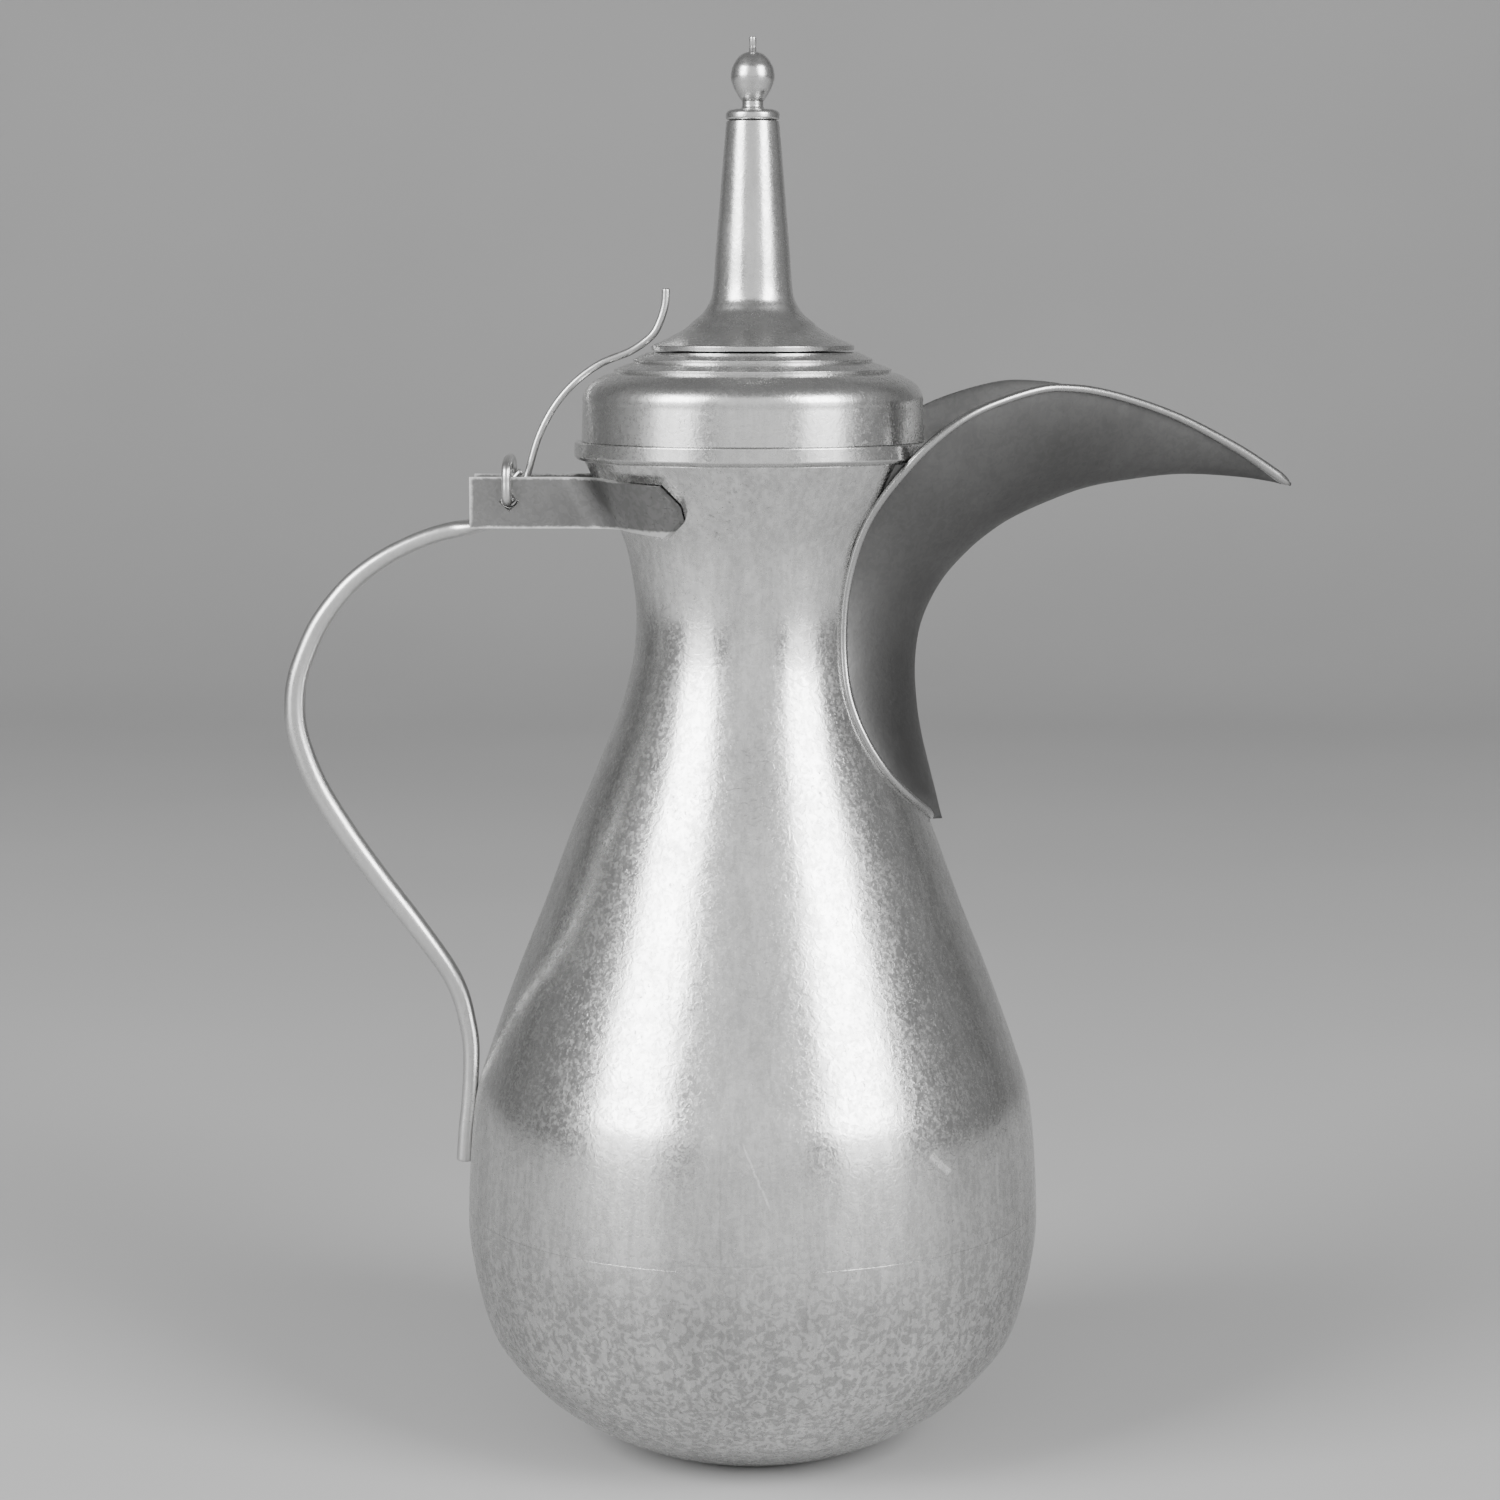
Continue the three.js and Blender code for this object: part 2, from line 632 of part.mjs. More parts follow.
const rimKnots = [
  ...seam.map(([z, azimuth]) => point(potRadius(z) * Math.cos(azimuth), potRadius(z) * Math.sin(azimuth), z)),
  ...freeRim.map(([way, rise, half]) => point(
    rimStart.x + (spout.reach - rimStart.x) * way,
    rimStart.half * half,
    mouth.z + spout.crest * rise,
  )),
];
const keelKnots = [
  ...neckKeel.map(([proud, share]) => {
    const z = spout.footZ + neckRise * share;
    return point(potRadius(z) + proud, 0, z);
  }),
  ...freeKeel.map(([way, below]) => point(rimStart.x + (spout.reach - rimStart.x) * way, 0, mouth.z - below)),
];
const rimCurve = new THREE.CatmullRomCurve3(rimKnots);
const keelCurve = new THREE.CatmullRomCurve3(keelKnots);
const spoutSteps = 28;
const troughSteps = 8;

// The middle of the rim, the way down to the keel and the half width at a share of the spout.
function spoutStation(share) {
  const rim = rimCurve.getPoint(share);
  const keel = keelCurve.getPoint(share);
  const middle = point(rim.x, 0, rim.z);
  const down = keel.clone().sub(middle);
  return { middle, down: down.clone().normalize(), depth: down.length(), half: rim.y };
}

const keelSharpness = 0.45; // 0 is a round keel and 1 a sharp one

// One point of the trough's section, as [share of the half width, share of the depth]. The angle is
// 0 at the keel and a right angle at the rim.
function troughSection(angle) {
  const straight = angle / (Math.PI / 2);
  return [
    THREE.MathUtils.lerp(Math.sin(angle), straight, keelSharpness),
    THREE.MathUtils.lerp(Math.cos(angle), 1 - Math.abs(straight), keelSharpness),
  ];
}

// Each section is carried on a little into the pot, where the pot cuts it.
function troughFace(inset) {
  const attached = seam.length / (rimKnots.length - 1);
  const face = [];
  for (let i = 0; i <= spoutSteps; i += 1) {
    const share = i / spoutSteps;
    const { middle, down, depth, half } = spoutStation(share);
    const wall = half - bead.radius;
    const halfHere = Math.max(wall - inset, wall * 0.3, 0.25);
    const depthHere = Math.max(depth - inset, depth * 0.35);
    const bury = share < attached ? 2.2 * Math.min(1, depth / 6) : 0;
    const row = [];
    for (let j = -troughSteps; j <= troughSteps; j += 1) {
      const angle = (j / (troughSteps - 1)) * (Math.PI / 2);
      const [outShare, downShare] = troughSection(angle);
      const sideways = Math.abs(j) === troughSteps ? Math.sign(j) : outShare;
      const fall = Math.abs(j) === troughSteps ? -bury - 0.01 : depthHere * downShare;
      const place = middle.clone().addScaledVector(down, fall);
      row.push(place.setY(sideways * halfHere));
    }
    face.push(row);
  }
  return face;
}

function inSpoutPlane(solid) {
  return solid.rotate([0, 0, THREE.MathUtils.radToDeg(spout.turn)]);
}

// The band, grown by the clearance, so that the spout's walls pass outside it.
function grownBand() {
  const radius = band.radius + clearance;
  return disc(bandBore - clearance, radius, bandBottom - clearance, bandTop + clearance, aroundPot);
}

// A wire stiffens each rim of the spout, on the outside of the wall.
function rimWire(side, radius) {
  const points = [];
  const steps = spoutSteps + 8;
  for (let i = 0; i <= steps; i += 1) {
    const share = bead.from + ((bead.to - bead.from) * i) / steps;
    const { middle, down, half } = spoutStation(share);
    const place = middle.addScaledVector(down, bead.radius);
    points.push(place.setY(side * (half + clearance)));
  }
  const shape = new THREE.Shape();
  shape.absarc(0, 0, radius, 0, 2 * Math.PI, false);
  const path = new THREE.CatmullRomCurve3(points);
  const wire = new THREE.ExtrudeGeometry(shape, { extrudePath: path, steps: 36, curveSegments: 3, bevelEnabled: false });
  return inSpoutPlane(solidOf(wire));
}

function spoutTrough() {
  const trough = inSpoutPlane(sheetBetween(troughFace(0), troughFace(sheet)));
  const grown = bead.radius + clearance;
  return trough
    .subtract(rimWire(-1, grown))
    .subtract(rimWire(1, grown))
    .subtract(grownPot())
    .subtract(grownBand());
}

function spoutBead(side) {
  return rimWire(side, bead.radius).subtract(grownPot()).subtract(grownBand());
}

// ---------------------------------------------------------------- the assembly

const pot = new THREE.Group();
pot.add(
  piece('bowl_shell', bowlShell(), silver),
  piece('neck_shell', neckShell(), silver),
  piece('mouth_band', mouthBand(), silver),
  piece('spout_trough', spoutTrough(), darkSilver),
  piece('spout_bead_near', spoutBead(-1), silver),
  piece('spout_bead_far', spoutBead(1), silver),
  piece('hinge_strap_near', hingeStrap(-1), silver),
  piece('hinge_strap_far', hingeStrap(1), silver),
  piece('handle_rod', handleRod(), silver),
);

const lidGroup = new THREE.Group();
lidGroup.add(
  piece('lid_cap', lidCap(), silver),
  piece('lid_skirt', lidSkirt(), darkSilver),
  piece('lid_arm', lidArm(), silver),
  piece('spire', trumpetSpire(), silver),
  piece('finial_collar', finialCollar(), silver),
  piece('finial_stem', finialStem(), silver),
  piece('finial_knob', finialKnob(), silver),
  piece('tie_rod', tieRodSolid(), darkSilver),
  piece('rod_washer', rodWasher(), darkSilver),
  piece('rod_nut', rodNut(), darkSilver),
);

const dallah = new THREE.Group();
dallah.add(pot, lidGroup, piece('hinge_link', hingeLink(), silver));

export default dallah;
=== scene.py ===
"""A dallah: a tall waisted coffee pot in worn silver metal, with a hinged lid, a spire and a crescent beak."""

import math

import bmesh
import bpy
import numpy as np
from mathutils import Matrix, Vector


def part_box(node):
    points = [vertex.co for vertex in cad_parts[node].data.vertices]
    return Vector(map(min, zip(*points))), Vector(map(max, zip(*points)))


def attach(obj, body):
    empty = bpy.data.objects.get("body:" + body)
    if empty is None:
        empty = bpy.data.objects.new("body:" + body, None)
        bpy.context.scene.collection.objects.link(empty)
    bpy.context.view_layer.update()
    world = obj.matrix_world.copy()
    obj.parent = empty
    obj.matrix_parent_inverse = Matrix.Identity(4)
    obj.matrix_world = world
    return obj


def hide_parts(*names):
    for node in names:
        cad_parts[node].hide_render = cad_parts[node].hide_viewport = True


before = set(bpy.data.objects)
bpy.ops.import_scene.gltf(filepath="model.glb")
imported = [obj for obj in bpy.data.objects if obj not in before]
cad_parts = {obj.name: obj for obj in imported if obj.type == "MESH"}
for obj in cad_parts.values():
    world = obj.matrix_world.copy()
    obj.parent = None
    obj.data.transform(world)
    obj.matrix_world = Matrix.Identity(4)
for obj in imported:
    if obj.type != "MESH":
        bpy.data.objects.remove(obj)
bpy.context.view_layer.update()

MM = 0.001

# ------------------------------------------------------------------ sizes read from the frame, in mm


def box_mm(node):
    low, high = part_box(node)
    return np.array(low) / MM, np.array(high) / MM


_, BOWL_HIGH = box_mm("bowl_shell")
NECK_LOW, NECK_HIGH = box_mm("neck_shell")
BAND_LOW, BAND_HIGH = box_mm("mouth_band")
LID_LOW, LID_HIGH = box_mm("lid_cap")
SKIRT_LOW, SKIRT_HIGH = box_mm("lid_skirt")
SPIRE_LOW, SPIRE_HIGH = box_mm("spire")
COLLAR_LOW, COLLAR_HIGH = box_mm("finial_collar")
STEM_LOW, STEM_HIGH = box_mm("finial_stem")
KNOB_LOW, KNOB_HIGH = box_mm("finial_knob")
PIN_LOW, PIN_HIGH = box_mm("tie_rod")
WASHER_LOW, WASHER_HIGH = box_mm("rod_washer")
NUT_LOW, NUT_HIGH = box_mm("rod_nut")
STRAP_LOW, STRAP_HIGH = box_mm("hinge_strap_near")
LINK_LOW, LINK_HIGH = box_mm("hinge_link")
ROD_LOW, _ = box_mm("handle_rod")

SHEET = 1.2
BAND_WIDTH = 3.1
BAND_PROUD = 1.9
WAIST_BELOW_MOUTH = 33.7
GRIP_BELOW_MOUTH = 52.7
TONGUE_LIFT = 1.7
KEEL_SHARPNESS = 0.45
BELLY_R = BOWL_HIGH[0]
BELLY_Z = (BOWL_HIGH[2] + NECK_LOW[2]) / 2
MARK_TOP = BELLY_Z * 1.3
BAND_R = BAND_HIGH[0]
MOUTH_R = BAND_R - BAND_PROUD
MOUTH_Z = NECK_HIGH[2]
WAIST_R = BELLY_R * 0.403
WAIST_Z = MOUTH_Z - WAIST_BELOW_MOUTH
BASE_R = BELLY_R * 0.359
LID_R = LID_HIGH[0]
SPIRE_FOOT_R = SPIRE_HIGH[0]
PIVOT_X = (LINK_LOW[0] + LINK_HIGH[0]) / 2
SPOUT_TURN = math.radians(8)

# ------------------------------------------------------------------ curves and meshes


def uniform_spline(knots, share):
    """A point on a curve through knots in a plane."""
    knots = np.asarray(knots, float)
    place = share * (len(knots) - 1)
    i = min(int(place), len(knots) - 2)
    t = place - i
    p0, p1 = knots[max(i - 1, 0)], knots[i]
    p2, p3 = knots[i + 1], knots[min(i + 2, len(knots) - 1)]
    m1, m2 = (p2 - p0) / 2, (p3 - p1) / 2
    cubic = (2 * p1 - 2 * p2 + m1 + m2) * t**3
    return cubic + (-3 * p1 + 3 * p2 - 2 * m1 - m2) * t * t + m1 * t + p1


def smooth_curve(knots, closed=False):
    """A function of a share from 0 to 1 that gives a point on a centripetal curve through the knots."""
    knots = np.asarray(knots, float)
    if closed:
        padded = np.vstack([knots[-1:], knots, knots[:2]])
    else:
        padded = np.vstack([2 * knots[:1] - knots[1:2], knots, 2 * knots[-1:] - knots[-2:-1]])
    spans = len(padded) - 3

    def at(share):
        place = min(max(share, 0), 1) * spans
        i = min(int(place), spans - 1)
        t = place - i
        p0, p1, p2, p3 = padded[i : i + 4]
        d0, d1, d2 = (max(np.linalg.norm(b - a) ** 0.5, 1e-6) for a, b in ((p0, p1), (p1, p2), (p2, p3)))
        m1 = ((p1 - p0) / d0 - (p2 - p0) / (d0 + d1) + (p2 - p1) / d1) * d1
        m2 = ((p2 - p1) / d1 - (p3 - p1) / (d1 + d2) + (p3 - p2) / d2) * d1
        cubic = (2 * p1 - 2 * p2 + m1 + m2) * t**3
        return cubic + (-3 * p1 + 3 * p2 - 2 * m1 - m2) * t * t + m1 * t + p1

    return at


def spaced(curve, count):
    """Evenly spaced points along a curve."""
    fine = np.array([curve(i / 1200) for i in range(1201)])
    run = np.concatenate([[0], np.cumsum(np.linalg.norm(np.diff(fine, axis=0), axis=1))])
    wanted = np.linspace(0, run[-1], count + 1)
    return np.column_stack([np.interp(wanted, run, fine[:, k]) for k in range(fine.shape[1])])


def rounded(corners, steps=5):
    """Points of a closed profile of [r, z, fillet] corners, each fillet with a short straight run beside it."""
    out = []
    count = len(corners)
    for i, (r, z, fillet) in enumerate(corners):
        here = np.array([r, z], float)
        if not fillet:
            out.append(here)
            continue
        before = np.array(corners[i - 1][:2], float) - here
        after = np.array(corners[(i + 1) % count][:2], float) - here
        reach_in, reach_out = np.linalg.norm(before), np.linalg.norm(after)
        size = min(fillet, 0.45 * reach_in, 0.45 * reach_out)
        start, end = here + before / reach_in * size, here + after / reach_out * size
        if reach_in > 3 * size:
            out.append(here + before / reach_in * size * 1.3)
        for k in range(steps + 1):
            t = k / steps
            out.append((1 - t) ** 2 * start + 2 * t * (1 - t) * here + t * t * end)
        if reach_out > 3 * size:
            out.append(here + after / reach_out * size * 1.3)
    return out


def new_piece(name, points, faces):
    """A smooth-shaded mesh object from points in mm."""
    mesh = bpy.data.meshes.new(name)
    mesh.from_pydata((np.asarray(points, float) * MM).tolist(), [], [tuple(f) for f in faces])
    mesh.validate()
    made = bmesh.new()
    made.from_mesh(mesh)
    bmesh.ops.remove_doubles(made, verts=made.verts, dist=1e-7)
    bmesh.ops.recalc_face_normals(made, faces=made.faces)
    made.to_mesh(mesh)
    made.free()
    mesh.shade_smooth()
    piece = bpy.data.objects.new(name, mesh)
    bpy.context.scene.collection.objects.link(piece)
    return piece


def turned(name, profile, segments):
    """A closed [r, z] profile turned round the Z axis."""
    points, rings = [], []
    for r, z in profile:
        if r < 1e-6:
            rings.append([len(points)])
            points.append((0, 0, z))
            continue
        rings.append(list(range(len(points), len(points) + segments)))
        angles = np.arange(segments) * 2 * math.pi / segments
        points += [(r * math.cos(a), r * math.sin(a), z) for a in angles]
    faces = []
    for ring, following in zip(rings, rings[1:] + rings[:1]):
        for k in range(segments):
            quad = [ring[k % len(ring)], ring[(k + 1) % len(ring)]]
            quad += [following[(k + 1) % len(following)], following[k % len(following)]]
            corners = list(dict.fromkeys(quad))
            if len(corners) > 2:
                faces.append(corners)
    return new_piece(name, points, faces)


def rod(name, centres, normal, across, within, sides, closed=False, blunt=0.0):
    """A rod through centres in one plane: `across` is its half size along the plane's normal."""
    centres, normal = np.asarray(centres, float), np.asarray(normal, float)
    shares = np.linspace(0, 1, len(centres))
    shrink = np.zeros(len(centres))
    if blunt:
        run = np.concatenate([[0], np.cumsum(np.linalg.norm(np.diff(centres, axis=0), axis=1))])
        close = blunt * (1 - np.cos(np.radians([25, 50, 75])))
        wanted = np.sort(np.concatenate([run, close, run[-1] - close]))
        centres = np.column_stack([np.interp(wanted, run, centres[:, k]) for k in range(3)])
        shares = wanted / run[-1]
        gap = np.clip(blunt - np.minimum(wanted, run[-1] - wanted), 0, blunt)
        shrink = blunt - np.sqrt(blunt**2 - gap**2)
    total = len(centres)
    points = []
    for i in range(total):
        before = centres[i - 1] if closed or i else centres[0]
        after = centres[(i + 1) % total] if closed or i < total - 1 else centres[i]
        side = np.cross((after - before) / np.linalg.norm(after - before), normal)
        for k in range(sides):
            angle = 2 * math.pi * (k + 0.5) / sides
            inward = (within(shares[i]) - shrink[i]) * math.cos(angle)
            sideways = (across(shares[i]) - shrink[i]) * math.sin(angle)
            points.append(centres[i] + side * inward + normal * sideways)
    faces = []
    for i in range(total if closed else total - 1):
        for k in range(sides):
            a, b = i * sides + k, i * sides + (k + 1) % sides
            c, d = ((i + 1) % total) * sides + k, ((i + 1) % total) * sides + (k + 1) % sides
            faces.append((a, b, d, c))
    if not closed:
        faces.append(tuple(range(sides)))
        faces.append(tuple(range((total - 1) * sides, total * sides)))
    return new_piece(name, points, faces)


def plate(name, front, back):
    """A sheet between two grids of points that face each other."""
    front, back = np.asarray(front, float), np.asarray(back, float)
    rows, columns = front.shape[:2]
    points = np.vstack([front.reshape(-1, 3), back.reshape(-1, 3)])

    def at(layer, i, j):
        return layer * rows * columns + i * columns + j

    faces = []
    for i in range(rows - 1):
        for j in range(columns - 1):
            for layer in (0, 1):
                faces.append((at(layer, i, j), at(layer, i, j + 1), at(layer, i + 1, j + 1), at(layer, i + 1, j)))
        for j in (0, columns - 1):
            faces.append((at(0, i, j), at(0, i + 1, j), at(1, i + 1, j), at(1, i, j)))
    for j in range(columns - 1):
        for i in (0, rows - 1):
            faces.append((at(0, i, j), at(0, i, j + 1), at(1, i, j + 1), at(1, i, j)))
    return new_piece(name, points, faces)


def cut(piece, *cutters):
    """Takes the cutters' solids out of a piece."""
    for cutter in cutters:
        step = piece.modifiers.new("cut", "BOOLEAN")
        step.operation = "DIFFERENCE"
        step.solver = "EXACT"
        step.object = cutter
    bpy.context.view_layer.update()
    evaluated = piece.evaluated_get(bpy.context.evaluated_depsgraph_get())
    mesh = bpy.data.meshes.new_from_object(evaluated)
    piece.modifiers.clear()
    piece.data = mesh
    for cutter in cutters:
        bpy.data.objects.remove(cutter)
    return piece


def soften(piece, width, angle=35, segments=3):
    """Rounds the piece's sharp edges."""
    bevel = piece.modifiers.new("edges", "BEVEL")
    bevel.width = width * MM
    bevel.segments = segments
    bevel.limit_method = "ANGLE"
    bevel.angle_limit = math.radians(angle)
    bevel.use_clamp_overlap = True
    bevel.harden_normals = True
    return piece


def place(piece, body, slot, material, *nodes):
    piece.data.materials.clear()
    piece.data.materials.append(material)
    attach(piece, body)
    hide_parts(*nodes)
    return piece


# ------------------------------------------------------------------ the pot's outline

BOWL_SHAPE = [(0, 0), (0.075, 0.254), (0.211, 0.56), (0.385, 0.789), (0.528, 0.898), (0.779, 0.979)]
SHOULDER_SHAPE = [
    (0, 0), (0.175, 0.044), (0.27, 0.137), (0.394, 0.29), (0.518, 0.461),
    (0.643, 0.621), (0.766, 0.795), (0.849, 0.906), (0.929, 0.978),
]
FLARE_SHAPE = [(0, 0), (0.237, 0.058), (0.504, 0.236), (0.742, 0.601), (1, 1)]


def stretched(shape, start, end):
    return [(start[0] + (end[0] - start[0]) * way, start[1] + (end[1] - start[1]) * rise) for rise, way in shape]


OUTLINE_KNOTS = (
    stretched(BOWL_SHAPE, (BASE_R, 0), (BELLY_R, BELLY_Z))
    + stretched(SHOULDER_SHAPE, (BELLY_R, BELLY_Z), (WAIST_R, WAIST_Z))
    + stretched(FLARE_SHAPE, (WAIST_R, WAIST_Z), (MOUTH_R, MOUTH_Z))
)
BELLY_SHARE = len(BOWL_SHAPE) / (len(OUTLINE_KNOTS) - 1)


def outline(start, end, steps, offset, ends=()):
    """Points along the pot's outer outline, moved out by offset, with close rows just inside the given ends."""
    shares = list(np.linspace(start, end, steps + 1))
    shares += [start + 2e-4] if "start" in ends else []
    shares += [end - 2e-4] if "end" in ends else []
    points = []
    for share in sorted(shares):
        here = uniform_spline(OUTLINE_KNOTS, share)
        ahead = uniform_spline(OUTLINE_KNOTS, min(share + 1e-4, 1))
        along = ahead - uniform_spline(OUTLINE_KNOTS, max(share - 1e-4, 0))
        along /= np.linalg.norm(along)
        points.append(here + np.array([along[1], -along[0]]) * offset)
    return points


FINE_OUTLINE = np.array(outline(0, 1, 600, 0))


def pot_radius(z):
    return float(np.interp(z, FINE_OUTLINE[:, 1], FINE_OUTLINE[:, 0]))


def pot_cutter(grow):
    """The pot filled in, to cut what is brazed against it."""
    wall = outline(0, 1, 160, grow)
    high = MOUTH_Z + 12
    return turned("cutter", [(0, -1), (wall[0][0], -1), *wall, (wall[-1][0], high), (0, high)], 160)


def bowl_shell():
    outer = outline(0, BELLY_SHARE, 70, 0, ("end",))
    inner = outline(0, BELLY_SHARE, 50, -SHEET, ("end",))[::-1]
    outer[-1][1] = inner[0][1] = BELLY_Z
    outer[0][1] = 0
    inner[-1][1] = SHEET
    foot = [(0, 0), (BASE_R - 1.5, 0), (BASE_R - 0.4, 0.02)]
    return turned("bowl_shell_worn", [*foot, *outer[1:], *inner, (0, SHEET)], 224)


def neck_shell():
    outer = outline(BELLY_SHARE, 1, 150, 0, ("start",))
    inner = outline(BELLY_SHARE, 1, 110, -SHEET, ("start",))[::-1]
    outer[0][1] = inner[-1][1] = BELLY_Z
    inner[0][1] = MOUTH_Z
    shell = turned("neck_shell_worn", [*outer, *inner], 224)
    drills = []
    for row in range(3):
        spots = (-0.5, 0.5) if row % 2 == 0 else (-1, 0, 1)
        for spot in spots:
            drill = turned("drill", [(0, -WAIST_R), (1.8, -WAIST_R), (1.8, WAIST_R), (0, WAIST_R)], 24)
            lean = Matrix.Rotation(SPOUT_TURN, 4, "Z") @ Matrix.Translation(
                Vector((WAIST_R, spot * 6.4, WAIST_Z - 12 - row * 6.4)) * MM
            )
            drill.data.transform(lean @ Matrix.Rotation(math.pi / 2, 4, "Y"))
            drills.append(drill)
    return cut(shell, *drills)


def mouth_band():
    bore = BAND_R - BAND_WIDTH
    low, high = BAND_LOW[2] - 0.25, BAND_HIGH[2]
    corners = [
        (bore, low, 0.2), (BAND_R - 0.7, low, 0.15), (BAND_R, low + 0.7, 0.2),
        (BAND_R, high, 0.3), (bore, high, 0.15),
    ]
    return turned("mouth_band_worn", rounded(corners), 224)


# ------------------------------------------------------------------ the lid, spire and finial

# The lid's outer outline, [share of its radius, share of its height, fillet in mm].
LID_SHAPE = [
    (1, -0.013, 0.12), (0.9935, 0.38, 0), (0.9925, 0.425, 0), (0.9952, 0.458, 0),
    (0.9895, 0.515, 0), (0.9787, 0.565, 0),
    (0.9584, 0.622, 0), (0.9224, 0.678, 0), (0.8684, 0.735, 0), (0.806, 0.768, 0.1),
    (0.81, 0.802, 0.14), (0.748, 0.85, 0), (0.696, 0.884, 0.1), (0.7, 0.915, 0.14),
    (0.652, 0.96, 0), (0.612, 0.995, 0),
]


def lid_point(way, rise):
    return LID_R * way, LID_LOW[2] + (LID_HIGH[2] - LID_LOW[2]) * rise


def lid_cap():
    bore = PIN_HIGH[0] + 0.1
    outer = [(*lid_point(way, rise), fillet) for way, rise, fillet in LID_SHAPE]
    inner = [(r - SHEET, z - 0.2, 0) if z < LID_LOW[2] + 8 else (r - 0.7, z - SHEET, 0) for r, z, _ in outer[1:]]
    top = LID_HIGH[2]
    corners = [*outer, (bore, top, 0), (bore, top - SHEET, 0), *inner[::-1]]
    corners += [(LID_R - SHEET, LID_LOW[2] - 0.2, 0.1)]
    dense = []
    points = rounded(corners)
    for here, following in zip(points, points[1:] + points[:1]):
        dense.append(here)
        gap = np.linalg.norm(following - here)
        dense += [here + (following - here) * k / 3 for k in (1, 2) if gap > 1.6]
    return turned("lid_cap_worn", dense, 224)


def lid_skirt():
    outer = SKIRT_HIGH[0]
    sleeve = BAND_R - BAND_WIDTH - 2
    low, high = SKIRT_LOW[2], SKIRT_HIGH[2]
    seat = high - 1
    corners = [
        (sleeve - 2, low, 0.2), (sleeve - 1, low, 0.3), (sleeve, BAND_HIGH[2], 0), (sleeve, seat, 0.3),
        (outer, seat, 0.2), (outer, high, 0.2), (sleeve - 1, high, 0.3),
    ]
    return turned("lid_skirt_worn", rounded(corners), 192)


# The spire's outer outline, [radius over the foot's, share of its height, fillet in mm].
SPIRE_SHAPE = [
    (0.996, 0, 0.1), (1.0, 0.021, 0.16), (0.916, 0.0375, 0), (0.794, 0.0625, 0), (0.71, 0.082, 0),
    (0.64, 0.1035, 0),
    (0.584, 0.1275, 0), (0.523, 0.149, 0), (0.4766, 0.171, 0), (0.444, 0.195, 0), (0.411, 0.224, 0),
    (0.3893, 0.2745, 0), (0.3645, 0.434, 0), (0.3346, 0.593, 0), (0.307, 0.749, 0), (0.278, 0.906, 0),
]


def spire():
    low, tall = SPIRE_LOW[2], SPIRE_HIGH[2] - SPIRE_LOW[2]
    bore = PIN_HIGH[0] + 0.1
    top_r = COLLAR_HIGH[0] - 0.1
    knots = [(SPIRE_FOOT_R * way, low + tall * rise) for way, rise, _ in SPIRE_SHAPE[2:]] + [(top_r, low + tall)]
    curve = smooth_curve(knots)
    flare = [tuple(curve(i / 90)) for i in range(91)]
    edge = [(SPIRE_FOOT_R * way, low + tall * rise, fillet) for way, rise, fillet in SPIRE_SHAPE[:2]]
    outer = [*edge, *[(r, z, 0) for r, z in flare[1:-1]], (top_r, low + tall, 0.25)]
    inner = [(r - SHEET, z - 0.5, 0) for r, z in flare[6:-2:4]][::-1]
    corners = [*outer, (bore, low + tall, 0), (bore, low + tall - SHEET, 0), *inner, (SPIRE_FOOT_R - 4.8, low, 0)]
    return turned("spire_worn", rounded(corners), 160)


def finial_collar():
    bore = PIN_HIGH[0] + 0.05
    low, high = COLLAR_LOW[2] - 0.12, COLLAR_HIGH[2]
    wide = COLLAR_HIGH[0]
    corners = [
        (bore, low, 0), (wide - 0.35, low, 0.15), (wide, low + 0.35, 0.25), (wide, high - 0.75, 0.4),
        (wide - 0.7, high - 0.1, 0.4), (STEM_HIGH[0] + 0.9, high + 0.1, 0.3), (bore, high, 0),
    ]
    return turned("finial_collar_worn", rounded(corners), 96)


def finial_stem():
    bore = PIN_HIGH[0] + 0.05
    low, high = STEM_LOW[2] - 0.25, STEM_HIGH[2] + 0.12
    wide = STEM_HIGH[0]
    corners = [(bore, low, 0), (wide + 0.35, low, 0.2), (wide, low + 0.5, 0.3)]
    corners += [(wide, high, 0.15), (bore, high, 0)]
    return turned("finial_stem_worn", rounded(corners), 64)


# The onion knob, [radius over the widest, share of its height].
KNOB_SHAPE = [
    (0.478, 0), (0.585, 0.065), (0.7, 0.15), (0.82, 0.24), (0.905, 0.335), (0.972, 0.42),
    (1.0, 0.485), (0.995, 0.55),
    (0.97, 0.62), (0.925, 0.7), (0.82, 0.79), (0.7, 0.87), (0.56, 0.93), (0.4, 0.975), (0.25, 1),
]


def finial_knob():
    low, tall = KNOB_LOW[2] - 0.2, KNOB_HIGH[2] - KNOB_LOW[2] + 0.2
    bore = PIN_HIGH[0] + 0.03
    curve = smooth_curve([(max(KNOB_HIGH[0] * way, bore + 0.12), low + tall * rise) for way, rise in KNOB_SHAPE])
    outer = [tuple(curve(i / 60)) for i in range(61)]
    return turned("finial_knob_worn", [(bore, low), *outer, (bore, low + tall)], 96)


def tie_rod():
    low, high = PIN_LOW[2], PIN_HIGH[2]
    wide = PIN_HIGH[0]
    seam = KNOB_HIGH[2] + 0.95
    corners = [
        (0, low, 0), (wide, low, 0.15), (wide, seam - 0.12, 0), (wide - 0.1, seam - 0.06, 0),
        (wide - 0.1, seam + 0.06, 0), (wide, seam + 0.12, 0), (wide, high, 0.3), (0, high, 0),
    ]
    return turned("tie_rod_worn", rounded(corners), 48)


